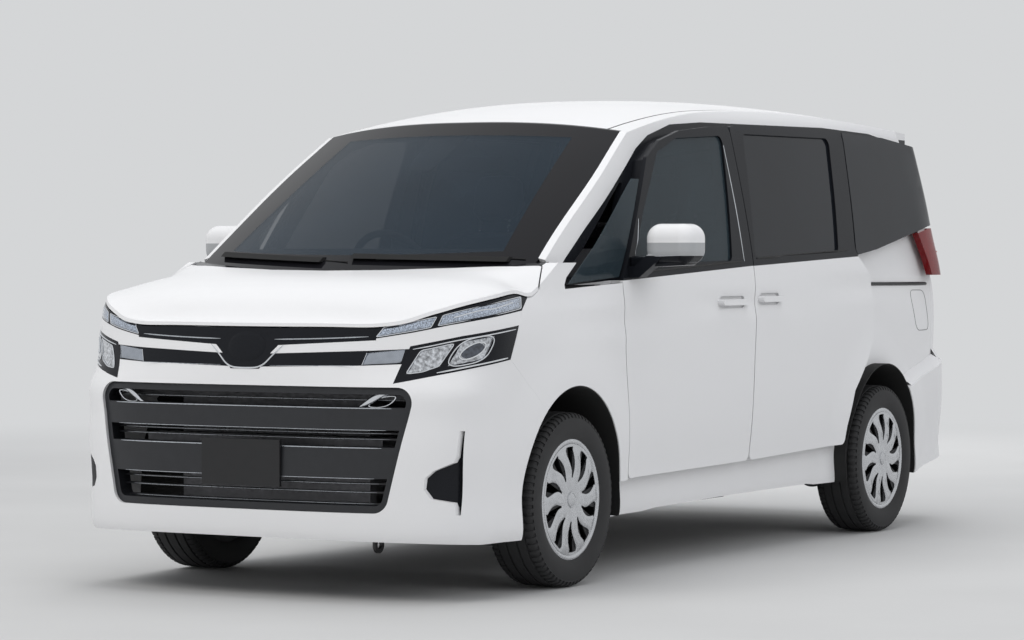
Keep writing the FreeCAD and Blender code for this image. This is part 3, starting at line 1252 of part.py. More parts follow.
rim = primitive("Part::Torus", "steering_rim", "0 mm", "0 mm", "0 mm", Radius1="Sizes.steeringWheelRadius", Radius2="Sizes.steeringRimRadius")
pad = primitive(
    "Part::Cylinder", "steering_pad", "0 mm", "0 mm", "-Sizes.steeringHubWall / 2",
    Radius="Sizes.steeringHubRadius", Height="Sizes.steeringHubWall",
)
bar = primitive(
    "Part::Box", "steering_bar", "-Sizes.steeringWheelRadius", "-Sizes.steeringSpokeWidth / 2", "-Sizes.steeringRimRadius / 2",
    Length="2 * Sizes.steeringWheelRadius", Width="Sizes.steeringSpokeWidth", Height="Sizes.steeringRimRadius",
)
stem = primitive(
    "Part::Box", "steering_stem", "-Sizes.steeringSpokeWidth / 2", "0 mm", "-Sizes.steeringRimRadius / 2",
    Length="Sizes.steeringSpokeWidth", Width="Sizes.steeringWheelRadius", Height="Sizes.steeringRimRadius",
)
steeringWheel = joined("steering_wheel", [rim, pad, bar, stem])
steeringWheel.Placement = FreeCAD.Placement(steeringMiddle, FreeCAD.Rotation(vector(1, 0, 0), -90 + math.degrees(columnTilt)))

frontPlace = "(Sizes.frontOverhang - Sizes.wheelbase - Sizes.rearOverhang) / 2"
rearPlace = "(Sizes.frontOverhang + Sizes.wheelbase - Sizes.rearOverhang) / 2"
knuckleOuter = "(Sizes.frontTrack / 2 - Sizes.brakeInset - Sizes.brakeWall - Sizes.panelGap)"
strutPlace = "(Sizes.frontTrack / 2 - Sizes.strutInset)"
springFoot = "(Sizes.tyreRadius + Sizes.knuckleRise + Sizes.springRadius)"
upright = primitive(
    "Part::Box", "upright", knuckleOuter + " - Sizes.knuckleWall", frontPlace + " - Sizes.knuckleWidth / 2", "Sizes.armTop + Sizes.seatGap",
    Length="Sizes.knuckleWall", Width="Sizes.knuckleWidth",
    Height="Sizes.tyreRadius + Sizes.knuckleRise - Sizes.armTop - Sizes.seatGap",
)
spindle = primitive(
    "Part::Cylinder", "spindle", knuckleOuter + " - Sizes.knuckleWall / 2", frontPlace, "Sizes.tyreRadius",
    Radius="Sizes.spindleRadius", Height="Sizes.frontTrack / 2 + Sizes.spindleReach - " + knuckleOuter + " + Sizes.knuckleWall / 2",
)
spindle.Placement.Rotation = FreeCAD.Rotation(vector(0, 1, 0), 90)
clamp = primitive(
    "Part::Box", "strut_clamp", strutPlace, frontPlace + " - Sizes.knuckleWidth / 2", "Sizes.tyreRadius + Sizes.knuckleRise / 2",
    Length=knuckleOuter + " - Sizes.knuckleWall / 2 - " + strutPlace, Width="Sizes.knuckleWidth", Height="Sizes.knuckleRise / 2",
)
strut = primitive(
    "Part::Cylinder", "strut", strutPlace, frontPlace, "Sizes.tyreRadius + Sizes.knuckleRise / 2",
    Radius="Sizes.strutRadius", Height="Sizes.strutHeight - Sizes.tyreRadius - Sizes.knuckleRise / 2",
)
coil = primitive(
    "Part::Cylinder", "coil_spring", strutPlace, frontPlace, springFoot,
    Radius="Sizes.springRadius", Height="Sizes.strutHeight - Sizes.panelGap - " + springFoot,
)
leftKnuckle = joined("knuckle_left", [upright, spindle, clamp, strut, coil])
rightKnuckle = doc.addObject("Part::Mirroring", "knuckle_right")
rightKnuckle.Label = "knuckle_right"
rightKnuckle.Source = leftKnuckle
rightKnuckle.Normal = vector(1, 0, 0)
nodes.append(rightKnuckle)

# Wheels and tyres


def closedSketch(body, label, plane, corners):
    """Closed outline whose corners are bound to the sheet."""
    sketch = body.newObject("Sketcher::SketchObject", label)
    sketch.AttachmentSupport = [(body.Origin.OriginFeatures[plane], "")]
    sketch.MapMode = "FlatFace"
    places = [vector(float(sheet.evalExpression(a)), float(sheet.evalExpression(b)), 0) for a, b in corners]
    count = len(corners)
    for i in range(count):
        sketch.addGeometry(Part.LineSegment(places[i], places[(i + 1) % count]), False)
    for i in range(count):
        sketch.addConstraint(Sketcher.Constraint("Coincident", i, 2, (i + 1) % count, 1))
    for i, pair in enumerate(corners):
        for kind, axis, formula, value in zip(("DistanceX", "DistanceY"), (-2, -1), pair, places[i]):
            if formula == "0":
                sketch.addConstraint(Sketcher.Constraint("PointOnObject", i, 1, axis))
            else:
                number = sketch.addConstraint(Sketcher.Constraint(kind, -1, 1, i, 1, value))
                sketch.setExpression("Constraints[%d]" % number, formula)
    return sketch


xzPlane = 4
yzPlane = 5
discInner = "-Sizes.brakeInset - Sizes.brakeWall"
boreRadius = "Sizes.spindleRadius + Sizes.seatGap"
barrelRadius = "Sizes.rimRadius - Sizes.rimWall"
flangeInner = "Sizes.rimWidth / 2 - Sizes.coverWall"
beadHalf = "(" + flangeInner + " - Sizes.seatGap)"
beadOuter = "(Sizes.rimWidth / 2 + Sizes.seatGap)"
beadInnerRadius = "Sizes.rimRadius + Sizes.seatGap"
beadOuterRadius = "Sizes.flangeRadius + Sizes.seatGap"
wheelProfile = [
    (discInner, boreRadius), (discInner, "Sizes.brakeRadius"), ("-Sizes.brakeInset", "Sizes.brakeRadius"),
    ("-Sizes.brakeInset", "Sizes.hubRadius"), ("Sizes.wheelDish - Sizes.coverWall", "Sizes.hubRadius"),
    (flangeInner, barrelRadius), ("-Sizes.rimWidth / 2", barrelRadius),
    ("-Sizes.rimWidth / 2", "Sizes.flangeRadius"), ("-(" + flangeInner + ")", "Sizes.flangeRadius"),
    ("-(" + flangeInner + ")", "Sizes.rimRadius"), (flangeInner, "Sizes.rimRadius"),
    (flangeInner, "Sizes.flangeRadius"), ("Sizes.rimWidth / 2", "Sizes.flangeRadius"),
    ("Sizes.wheelDish", "Sizes.hubRadius"), ("Sizes.wheelDish", "0"), ("Sizes.spindleReach + Sizes.seatGap", "0"),
    ("Sizes.spindleReach + Sizes.seatGap", boreRadius),
]
slotOutline = [
    ("-Sizes.spokeSlotNarrow / 2", "Sizes.spokeSlotInner"), ("Sizes.spokeSlotNarrow / 2", "Sizes.spokeSlotInner"),
    ("Sizes.spokeSlotWide / 2", "Sizes.spokeSlotOuter"), ("-Sizes.spokeSlotWide / 2", "Sizes.spokeSlotOuter"),
]
tyreProfile = [
    ("-" + beadHalf, beadInnerRadius), ("-" + beadHalf, beadOuterRadius), ("-" + beadOuter, beadOuterRadius),
    ("-Sizes.tyreWidth / 2", "Sizes.tyreWaist"),
    ("-Sizes.tyreShoulderWidth / 2", "Sizes.tyreShoulder"), ("-Sizes.treadWidth / 2", "Sizes.tyreRadius"),
    ("Sizes.treadWidth / 2", "Sizes.tyreRadius"), ("Sizes.tyreShoulderWidth / 2", "Sizes.tyreShoulder"),
    ("Sizes.tyreWidth / 2", "Sizes.tyreWaist"), (beadOuter, beadOuterRadius), (beadHalf, beadOuterRadius),
    (beadHalf, beadInnerRadius),
]
spokeCount = 10


def turned(label, profile):
    """Body of revolution about the wheel's axis."""
    body = doc.addObject("PartDesign::Body", label)
    body.Label = label
    outline = closedSketch(body, label + "_outline", xzPlane, profile)
    turn = body.newObject("PartDesign::Revolution", label + "_turn")
    turn.Profile = outline
    turn.ReferenceAxis = (outline, ["H_Axis"])
    turn.Angle = 360
    body.Tip = turn
    nodes.append(body)
    return body


def slotted(body, label):
    outline = closedSketch(body, label + "_slot_outline", yzPlane, slotOutline)
    doc.recompute()
    solidVolume = body.Shape.Volume
    slot = body.newObject("PartDesign::Pocket", label + "_slot")
    slot.Profile = outline
    slot.Type = 1
    slot.Reversed = True
    body.Tip = slot
    doc.recompute()
    if body.Shape.Volume >= solidVolume:
        raise ValueError(label + " has no slot")
    pattern = body.newObject("PartDesign::PolarPattern", label + "_slots")
    pattern.Originals = [slot]
    pattern.Axis = (body.Origin.OriginFeatures[0], [""])
    pattern.Angle = 360
    pattern.Occurrences = spokeCount
    body.Tip = pattern


wheelPlaces = [
    ("front_left", "Sizes.frontTrack / 2", frontPlace, 0), ("front_right", "-Sizes.frontTrack / 2", frontPlace, 180),
    ("rear_left", "Sizes.rearTrack / 2", rearPlace, 0), ("rear_right", "-Sizes.rearTrack / 2", rearPlace, 180),
]
for place, x, y, turnAngle in wheelPlaces:
    wheel = turned("wheel_" + place, wheelProfile)
    slotted(wheel, "wheel_" + place)
    tyre = turned("tyre_" + place, tyreProfile)
    for body in (wheel, tyre):
        body.Placement = FreeCAD.Placement(vector(0, 0, 0), FreeCAD.Rotation(vector(0, 0, 1), turnAngle))
        bind(body, Placement_Base_x=x, Placement_Base_y=y, Placement_Base_z="Sizes.tyreRadius")

doc.recompute()
for thing in doc.Objects:
    if "Invalid" in thing.State or "Error" in thing.State:
        raise ValueError(thing.Label + " did not build")
for node in nodes:
    if node.Shape.isNull() or not node.Shape.isValid() or not node.Shape.Solids:
        raise ValueError(node.Label + " has no valid solid")
    node.Shape.exportStep("parts/" + node.Label + ".step")
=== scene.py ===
import bpy
import bmesh
import math
from mathutils import Matrix, Vector
from mathutils.bvhtree import BVHTree


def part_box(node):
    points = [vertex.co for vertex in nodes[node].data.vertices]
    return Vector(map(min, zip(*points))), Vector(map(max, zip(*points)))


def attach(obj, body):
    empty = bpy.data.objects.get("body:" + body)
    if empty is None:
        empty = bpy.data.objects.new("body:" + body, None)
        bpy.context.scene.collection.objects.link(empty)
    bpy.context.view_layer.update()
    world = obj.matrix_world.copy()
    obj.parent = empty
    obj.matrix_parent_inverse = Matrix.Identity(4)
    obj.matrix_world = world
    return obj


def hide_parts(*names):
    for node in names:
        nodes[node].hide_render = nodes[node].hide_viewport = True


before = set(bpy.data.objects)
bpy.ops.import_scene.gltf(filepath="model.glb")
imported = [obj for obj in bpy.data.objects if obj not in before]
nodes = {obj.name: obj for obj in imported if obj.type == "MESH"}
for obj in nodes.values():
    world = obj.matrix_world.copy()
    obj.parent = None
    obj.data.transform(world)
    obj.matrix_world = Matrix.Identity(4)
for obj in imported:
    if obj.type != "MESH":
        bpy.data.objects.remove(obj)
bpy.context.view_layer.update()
scene = bpy.context.scene
print("frame loaded:", len(nodes), "nodes")

# Camera, lights and floor

camera = {
    "place": (6.6444, -12.1800, 1.2152),
    "heading": 29.41,      # degrees from +Y towards -X
    "tilt": -1.133,        # degrees below level
    "lens": 118.0,
    "sensor": 36.0,
}


def addCamera():
    data = bpy.data.cameras.new("camera")
    data.lens = camera["lens"]
    data.sensor_width = camera["sensor"]
    data.clip_end = 200
    lookout = bpy.data.objects.new("camera", data)
    scene.collection.objects.link(lookout)
    heading = math.radians(camera["heading"])
    tilt = math.radians(camera["tilt"])
    level = math.cos(tilt)
    forward = Vector((-math.sin(heading) * level, math.cos(heading) * level, math.sin(tilt)))
    lookout.location = camera["place"]
    lookout.rotation_euler = forward.to_track_quat("-Z", "Y").to_euler()
    scene.camera = lookout


lights = {
    "key": {"place": (-2.5, -8.5, 7.5), "size": 5.0, "power": 330, "tint": (1.0, 0.985, 0.96)},
    "side": {"place": (9.0, -2.0, 5.0), "size": 6.0, "power": 170, "tint": (0.98, 0.98, 1.0)},
    "top": {"place": (0.0, 0.5, 8.5), "size": 7.0, "power": 235, "tint": (1.0, 1.0, 1.0)},
    "back": {"place": (-3.0, 9.0, 5.0), "size": 5.0, "power": 260, "tint": (1.0, 1.0, 1.0)},
}
target = Vector((0.0, 0.0, 0.8))


def addLights():
    for name, light in lights.items():
        data = bpy.data.lights.new("light_" + name, "AREA")
        data.shape = "SQUARE"
        data.size = light["size"]
        data.energy = light["power"]
        data.color = light["tint"]
        lamp = bpy.data.objects.new("light_" + name, data)
        scene.collection.objects.link(lamp)
        lamp.visible_glossy = False
        lamp.location = light["place"]
        lamp.rotation_euler = (target - lamp.location).to_track_quat("-Z", "Y").to_euler()


sky = {
    "zenith": (0.84, 0.86, 0.90, 1),
    "horizon": (0.80, 0.81, 0.83, 1),
    "ground": (0.36, 0.36, 0.36, 1),
    "stops": (0.46, 0.52, 0.80),      # ground, horizon and zenith, from straight down to straight up
    "strength": 0.72,
    "backdrop": (0.66, 0.67, 0.68, 1),
}


def backdropRays(owner):      # 1 for the rays that see the backdrop, straight, mirrored or through glass
    rays = owner.node_tree.nodes.new("ShaderNodeLightPath")
    straight = calc(owner, "MAXIMUM", rays.outputs["Is Camera Ray"], rays.outputs["Is Transmission Ray"])
    return calc(owner, "MAXIMUM", straight, rays.outputs["Is Glossy Ray"])


def addWorld():
    world = bpy.data.worlds.new("sky")
    scene.world = world
    world.use_nodes = True
    tree = world.node_tree
    tree.nodes.clear()
    out = tree.nodes.new("ShaderNodeOutputWorld")
    lit = tree.nodes.new("ShaderNodeBackground")
    seen = tree.nodes.new("ShaderNodeBackground")
    blend = tree.nodes.new("ShaderNodeMixShader")
    place = tree.nodes.new("ShaderNodeTexCoord")
    split = tree.nodes.new("ShaderNodeSeparateXYZ")
    ramp = tree.nodes.new("ShaderNodeValToRGB")
    below, middle, above = sky["stops"]
    ramp.color_ramp.elements[0].position = below
    ramp.color_ramp.elements[0].color = sky["ground"]
    ramp.color_ramp.elements[1].position = above
    ramp.color_ramp.elements[1].color = sky["zenith"]
    ramp.color_ramp.elements.new(middle).color = sky["horizon"]
    tree.links.new(place.outputs["Generated"], split.inputs[0])
    tree.links.new(calc(world, "MULTIPLY_ADD", split.outputs["Z"], 0.5, 0.5), ramp.inputs[0])
    tree.links.new(ramp.outputs[0], lit.inputs["Color"])
    lit.inputs["Strength"].default_value = sky["strength"]
    seen.inputs["Color"].default_value = sky["backdrop"]
    tree.links.new(backdropRays(world), blend.inputs[0])
    tree.links.new(lit.outputs[0], blend.inputs[1])
    tree.links.new(seen.outputs[0], blend.inputs[2])
    tree.links.new(blend.outputs[0], out.inputs[0])


floor = {"half": 60.0, "color": (0.56, 0.56, 0.555, 1), "near": 5.5, "far": 11.0}


def addFloor():
    mesh = bmesh.new()
    bmesh.ops.create_grid(mesh, x_segments=1, y_segments=1, size=floor["half"])
    ground = finished("floor", mesh)
    finish = material("floorFinish", floor["color"], roughness=0.8)
    mottle(finish, floor["color"], scale=0.7, spread=0.03)
    tree = finish.node_tree
    x, y, z = spot(finish)
    square = calc(finish, "MULTIPLY_ADD", x, x, calc(finish, "MULTIPLY", y, y))
    share = tree.nodes.new("ShaderNodeMapRange")
    share.interpolation_type = "SMOOTHSTEP"
    share.inputs["From Min"].default_value = floor["near"]
    share.inputs["From Max"].default_value = floor["far"]
    tree.links.new(calc(finish, "SQRT", square), share.inputs["Value"])
    glow = tree.nodes.new("ShaderNodeEmission")
    glow.inputs["Color"].default_value = sky["backdrop"]
    blend = tree.nodes.new("ShaderNodeMixShader")
    tree.links.new(calc(finish, "MULTIPLY", share.outputs[0], backdropRays(finish)), blend.inputs[0])
    tree.links.new(shaderOf(finish).outputs[0], blend.inputs[1])
    tree.links.new(glow.outputs[0], blend.inputs[2])
    tree.links.new(blend.outputs[0], tree.nodes["Material Output"].inputs["Surface"])
    ground.data.materials.append(finish)


# Making pieces and finishes


def finished(name, mesh, smooth=True, sharp=35):
    data = bpy.data.meshes.new(name)
    mesh.to_mesh(data)
    mesh.free()
    if smooth:
        data.shade_smooth()
        data.set_sharp_from_angle(angle=math.radians(sharp))
    piece = bpy.data.objects.new(name, data)
    scene.collection.objects.link(piece)
    return piece


def material(name, color, roughness=0.5, metallic=0.0, coat=0.0, ior=1.5, sheen=0.0):
    made = bpy.data.materials.new(name)
    made.use_nodes = True
    shader = made.node_tree.nodes["Principled BSDF"]
    shader.inputs["Base Color"].default_value = color
    shader.inputs["Roughness"].default_value = roughness
    shader.inputs["Metallic"].default_value = metallic
    shader.inputs["Coat Weight"].default_value = coat
    shader.inputs["Coat Roughness"].default_value = 0.03
    shader.inputs["IOR"].default_value = ior
    shader.inputs["Sheen Weight"].default_value = sheen
    return made


def shaderOf(made):
    return made.node_tree.nodes["Principled BSDF"]


def grain(made, scale, detail=3.0, stretch=(1, 1, 1)):
    tree = made.node_tree
    place = tree.nodes.new("ShaderNodeTexCoord")
    mapping = tree.nodes.new("ShaderNodeMapping")
    mapping.inputs["Scale"].default_value = stretch
    noise = tree.nodes.new("ShaderNodeTexNoise")
    noise.inputs["Scale"].default_value = scale
    noise.inputs["Detail"].default_value = detail
    tree.links.new(place.outputs["Object"], mapping.inputs[0])
    tree.links.new(mapping.outputs[0], noise.inputs["Vector"])
    return noise.outputs[0]


def ranged(made, source, low, high):
    tree = made.node_tree
    spread = tree.nodes.new("ShaderNodeMapRange")
    spread.inputs["From Min"].default_value = 0.3
    spread.inputs["From Max"].default_value = 0.7
    spread.inputs["To Min"].default_value = low
    spread.inputs["To Max"].default_value = high
    tree.links.new(source, spread.inputs["Value"])
    return spread.outputs[0]


def mottle(made, color, scale, spread, stretch=(1, 1, 1)):
    tree = made.node_tree
    blend = tree.nodes.new("ShaderNodeMix")
    blend.data_type = "RGBA"
    blend.inputs["A"].default_value = tuple(c * (1 - spread) for c in color[:3]) + (1,)
    blend.inputs["B"].default_value = tuple(min(c * (1 + spread), 1) for c in color[:3]) + (1,)
    share = ranged(made, grain(made, scale, stretch=stretch), 0, 1)
    tree.links.new(share, blend.inputs["Factor"])
    tree.links.new(blend.outputs["Result"], shaderOf(made).inputs["Base Color"])
    return blend.outputs["Result"]


def worn(made, scale, low, high):
    tree = made.node_tree
    tree.links.new(ranged(made, grain(made, scale), low, high), shaderOf(made).inputs["Roughness"])


def bumpy(made, source, strength, distance):
    tree = made.node_tree
    raised = tree.nodes.new("ShaderNodeBump")
    raised.inputs["Strength"].default_value = strength
    raised.inputs["Distance"].default_value = distance
    tree.links.new(source, raised.inputs["Height"])
    tree.links.new(raised.outputs[0], shaderOf(made).inputs["Normal"])


def calc(made, operation, first, second=0.0, third=0.0):
    node = made.node_tree.nodes.new("ShaderNodeMath")
    node.operation = operation
    for place, value in enumerate((first, second, third)):
        if isinstance(value, (int, float)):
            node.inputs[place].default_value = value
        else:
            made.node_tree.links.new(value, node.inputs[place])
    return node.outputs[0]


def spot(made, output="Object"):
    tree = made.node_tree
    place = tree.nodes.new("ShaderNodeTexCoord")
    split = tree.nodes.new("ShaderNodeSeparateXYZ")
    tree.links.new(place.outputs[output], split.inputs[0])
    return split.outputs


def mixed(made, share, low, high):
    tree = made.node_tree
    blend = tree.nodes.new("ShaderNodeMix")
    blend.data_type = "RGBA"
    tree.links.new(share, blend.inputs["Factor"])
    for name, value in (("A", low), ("B", high)):
        if isinstance(value, tuple):
            blend.inputs[name].default_value = value
        else:
            tree.links.new(value, blend.inputs[name])
    return blend.outputs["Result"]


paint = {
    "white": (0.80, 0.80, 0.805, 1),
    "black": (0.010, 0.011, 0.014, 1),
    "trim": (0.30, 0.30, 0.30, 1),
    "gloss": 0.22,
    "index": 1.22,
}
belt = {"frontDoor": (1.1616, 0.0455), "slidingDoor": (1.1616, 0.0357)}      # height at y = 0, rise per metre


def bodyPaint(name):
    return material(name, paint["white"], roughness=paint["gloss"], ior=paint["index"])


def orangePeel(made):      # the fine waviness of sprayed paint
    bumpy(made, grain(made, 45, detail=1.0), 0.02, 0.001)
    return made


def pearlPaint(name="pearlPaint"):
    made = bodyPaint(name)
    mottle(made, paint["white"], scale=900, spread=0.015)
    return orangePeel(made)


def inwardOf(made, limit=-0.35):      # 1 where the face looks to the inside of the van
    x = spot(made)[0]
    facing = spot(made, "Normal")[0]
    return calc(made, "LESS_THAN", calc(made, "MULTIPLY", calc(made, "SIGN", x), facing), limit)


def painted(made, dark, inner, gloss=0.26):      # white, black where dark is 1, grey trim where inner is 1
    white = mottle(made, paint["white"], scale=900, spread=0.015)
    color = mixed(made, inner, mixed(made, dark, white, paint["black"]), paint["trim"])
    made.node_tree.links.new(color, shaderOf(made).inputs["Base Color"])
    rough = calc(made, "MULTIPLY_ADD", inner, 0.4, gloss)
    made.node_tree.links.new(rough, shaderOf(made).inputs["Roughness"])
    return orangePeel(made)


def doorPaint(name, line):
    made = bodyPaint(name)
    x, y, z = spot(made)
    above = calc(made, "GREATER_THAN", z, calc(made, "MULTIPLY_ADD", y, line[1], line[0]))
    return painted(made, above, inwardOf(made), gloss=0.24)


def slope(made, y, points):      # the height of a broken line through (y, z) points
    height = points[0][1]
    for (y1, z1), (y2, z2) in zip(points, points[1:]):
        rise = made.node_tree.nodes.new("ShaderNodeMapRange")
        rise.inputs["From Min"].default_value = y1
        rise.inputs["From Max"].default_value = y2
        rise.inputs["To Min"].default_value = 0.0
        rise.inputs["To Max"].default_value = z2 - z1
        made.node_tree.links.new(y, rise.inputs["Value"])
        height = calc(made, "ADD", height, rise.outputs[0])
    return height


masks = {
    # (y, z) of the lower and the upper edge of the black band round the side windows
    "belt": [(-1.4600, 1.0900), (-1.0230, 1.1150), (-0.3050, 1.1480), (1.1320, 1.2020),
             (1.3570, 1.2190), (1.9210, 1.3170), (2.0400, 1.3380), (2.1200, 1.3420)],
    "top": [(-1.4567, 1.0930), (-1.3300, 1.1845), (-1.1610, 1.2954), (-0.9794, 1.4057), (-0.7662, 1.5345),
            (-0.6505, 1.6065), (-0.5268, 1.6620), (-0.3080, 1.7120), (-0.0190, 1.7300), (1.1880, 1.7470),
            (1.6820, 1.7360), (1.9000, 1.7070), (2.1340, 1.6900)],
    "lean": (0.208, 1.045),      # lean of the side per metre of height, and the limit of its frame
    "lap": 0.014,                # how far the black of the frame reaches above the upper edge
    "ditch": (0.600, 0.004),     # middle and half width of the roof's dark joints
    "gate": (1.13, 1.74),        # height of the tailgate's black part
    "mirror": (1.2070, 1.2560),      # top of the mirror's black foot and of its grey band
    "mirrorStem": 0.893,         # distance from the middle line to the mirror's shell
    "mirrorGrey": (0.40, 0.41, 0.42, 1),
}


def sidePaint():
    made = bodyPaint("bodySidePaint")
    x, y, z = spot(made)
    lean, behind = masks["lean"]
    over = calc(made, "GREATER_THAN", z, slope(made, y, masks["belt"]))
    top = slope(made, y, masks["top"])
    deep = calc(made, "LESS_THAN", calc(made, "MULTIPLY_ADD", z, lean, calc(made, "ABSOLUTE", x)), behind)
    lap = calc(made, "LESS_THAN", z, calc(made, "ADD", top, masks["lap"]))
    under = calc(made, "MAXIMUM", calc(made, "LESS_THAN", z, top), calc(made, "MULTIPLY", deep, lap))
    return painted(made, calc(made, "MULTIPLY", over, under), inwardOf(made))


def roofPaint():
    made = bodyPaint("roofPaint")
    below = calc(made, "LESS_THAN", spot(made, "Normal")[2], -0.3)
    ditch = calc(made, "COMPARE", calc(made, "ABSOLUTE", spot(made)[0]), *masks["ditch"])
    return painted(made, ditch, below)


def tailgatePaint():
    made = bodyPaint("tailgatePaint")
    z = spot(made)[2]
    low, high = masks["gate"]
    near = calc(made, "MULTIPLY", calc(made, "GREATER_THAN", z, low), calc(made, "LESS_THAN", z, high))
    inner = calc(made, "LESS_THAN", spot(made, "Normal")[1], -0.3)
    return painted(made, near, inner)


def mirrorPaint():
    made = bodyPaint("mirrorPaint")
    x, y, z = spot(made)
    low, high = masks["mirror"]
    stem = calc(made, "LESS_THAN", calc(made, "ABSOLUTE", x), masks["mirrorStem"])
    foot = calc(made, "MAXIMUM", calc(made, "LESS_THAN", z, low), stem)
    grey = calc(made, "MULTIPLY", calc(made, "LESS_THAN", z, high), calc(made, "GREATER_THAN", z, low))
    white = mottle(made, paint["white"], scale=900, spread=0.015)
    shell = mixed(made, grey, white, masks["mirrorGrey"])
    glassSide = calc(made, "GREATER_THAN", spot(made, "Normal")[1], 0.6)
    color = mixed(made, calc(made, "MAXIMUM", foot, glassSide), shell, paint["black"])
    made.node_tree.links.new(color, shaderOf(made).inputs["Base Color"])
    return orangePeel(made)


def glossBlack(name="glossBlack"):
    made = material(name, paint["black"], roughness=0.12, ior=1.26)
    mottle(made, paint["black"], scale=300, spread=0.2)
    bumpy(made, grain(made, 60, detail=1.0), 0.02, 0.001)
    return made


def mouldedPlastic(name, color, roughness=0.55, pattern=700):
    made = material(name, color, roughness=roughness)
    mottle(made, color, scale=25, spread=0.08)
    bumpy(made, grain(made, pattern), 0.25, 0.0006)
    return made


def metal(name, color, roughness, stretch=(1, 1, 1)):
    made = material(name, color, roughness=roughness, metallic=1.0)
    mottle(made, color, scale=30, spread=0.06, stretch=stretch)
    worn(made, 60, roughness * 0.8, roughness * 1.3)
    return made


def glass(name, color, clear, edge=0.95, roughness=0.02):
    made = material(name, color, roughness=roughness, ior=1.28)
    tree = made.node_tree
    slant = tree.nodes.new("ShaderNodeLayerWeight")
    slant.inputs["Blend"].default_value = 0.35
    spread = tree.nodes.new("ShaderNodeMapRange")
    spread.inputs["To Min"].default_value = clear
    spread.inputs["To Max"].default_value = edge
    tree.links.new(slant.outputs["Facing"], spread.inputs["Value"])
    tree.links.new(spread.outputs[0], shaderOf(made).inputs["Alpha"])
    mottle(made, color, scale=3, spread=0.1)
    return made


screen = {
    "glass": (0.022, 0.036, 0.052, 1),
    "border": (0.010, 0.010, 0.012, 1),
    "side": (0.8885, 0.2077, 0.040),       # half width at z = 0, loss per metre of height, border
    "bottom": (1.165, 0.040, 0.045),       # height at the centre line, rise times x squared, border
    "top": (1.715, -0.050, 0.040),
    "clear": 0.28,
}


def screenGlass():
    made = glass("screenGlass", screen["glass"], screen["clear"])
    tree = made.node_tree
    shader = shaderOf(made)
    clear = shader.inputs["Alpha"].links[0].from_socket
    color = shader.inputs["Base Color"].links[0].from_socket
    x, y, z = spot(made)
    square = calc(made, "MULTIPLY", x, x)
    width = calc(made, "MULTIPLY_ADD", z, -screen["side"][1], screen["side"][0] - screen["side"][2])
    beside = calc(made, "GREATER_THAN", calc(made, "ABSOLUTE", x), width)
    low = calc(made, "MULTIPLY_ADD", square, screen["bottom"][1], screen["bottom"][0] + screen["bottom"][2])
    below = calc(made, "LESS_THAN", z, low)
    high = calc(made, "MULTIPLY_ADD", square, screen["top"][1], screen["top"][0] - screen["top"][2])
    above = calc(made, "GREATER_THAN", z, high)
    border = calc(made, "MAXIMUM", calc(made, "MAXIMUM", beside, below), above)
    tree.links.new(mixed(made, border, color, screen["border"]), shader.inputs["Base Color"])
    tree.links.new(calc(made, "MAXIMUM", clear, border), shader.inputs["Alpha"])
    return made


def dress(made, *names):
    for name in names:
        for socket in nodes[name].material_slots:
            socket.material = made


def dressNodes():
    dress(pearlPaint(), "hood", "fenders", "front_bumper", "rear_bumper")
    dress(sidePaint(), "body_side_left", "body_side_right")
    dress(roofPaint(), "roof_panel")
    dress(tailgatePaint(), "tailgate")
    dress(mirrorPaint(), "mirror_left", "mirror_right")
    dress(doorPaint("frontDoorPaint", belt["frontDoor"]), "front_door_left", "front_door_right")
    dress(doorPaint("slidingDoorPaint", belt["slidingDoor"]), "sliding_doors")
    dress(glossBlack(), "upper_grille", "cowl_panel", "fog_recesses")
    dress(mouldedPlastic("platePlastic", (0.010, 0.010, 0.011, 1), 0.42), "front_plate")
    dress(screenGlass(), "windscreen")
    dress(glass("frontGlass", (0.030, 0.045, 0.055, 1), 0.45), "front_door_glass_left",
          "front_door_glass_right", "corner_glass")
    dress(glass("privacyGlass", (0.010, 0.012, 0.016, 1), 0.93, 0.99), "sliding_door_glass",
          "rear_quarter_glass", "tailgate_glass")
    dress(glossBlack("lampBlack"), "headlamps")
    dress(glass("tailLampGlass", (0.20, 0.01, 0.012, 1), 0.85, 0.98), "tail_lamps")
    dress(mouldedPlastic("grillePlastic", (0.016, 0.017, 0.020, 1), 0.4), "lower_grille")
    dress(mouldedPlastic("linerPlastic", (0.012, 0.012, 0.012, 1), 0.8), "wheelhouse_liners", "wipers")
    dress(metal("wheelSteel", (0.05, 0.05, 0.052, 1), 0.5), "wheel_front_left", "wheel_front_right",
          "wheel_rear_left", "wheel_rear_right")
    dress(mouldedPlastic("tyreRubber", (0.018, 0.018, 0.019, 1), 0.75), "tyre_front_left", "tyre_front_right",
          "tyre_rear_left", "tyre_rear_right")
    dress(metal("underbodySteel", (0.10, 0.10, 0.10, 1), 0.55), "floor_pan", "front_subframe", "rear_axle",
          "knuckle_left", "knuckle_right", "exhaust")
    dress(metal("castIron", (0.20, 0.20, 0.21, 1), 0.5), "engine_block", "radiator_support")
    dress(mouldedPlastic("tankPlastic", (0.02, 0.02, 0.02, 1), 0.6), "fuel_tank")
    dress(mouldedPlastic("dashPlastic", (0.045, 0.045, 0.05, 1), 0.6), "dashboard", "steering_wheel")
    dress(mouldedPlastic("seatCloth", (0.05, 0.05, 0.055, 1), 0.9), "front_seats", "second_row_seats",
          "third_row_seats")
    print("nodes dressed")


# Points on the skin of a node


def treeOf(*names):
    mesh = bmesh.new()
    for name in names:
        mesh.from_mesh(nodes[name].data)
    tree = BVHTree.FromBMesh(mesh)
    mesh.free()
    return tree


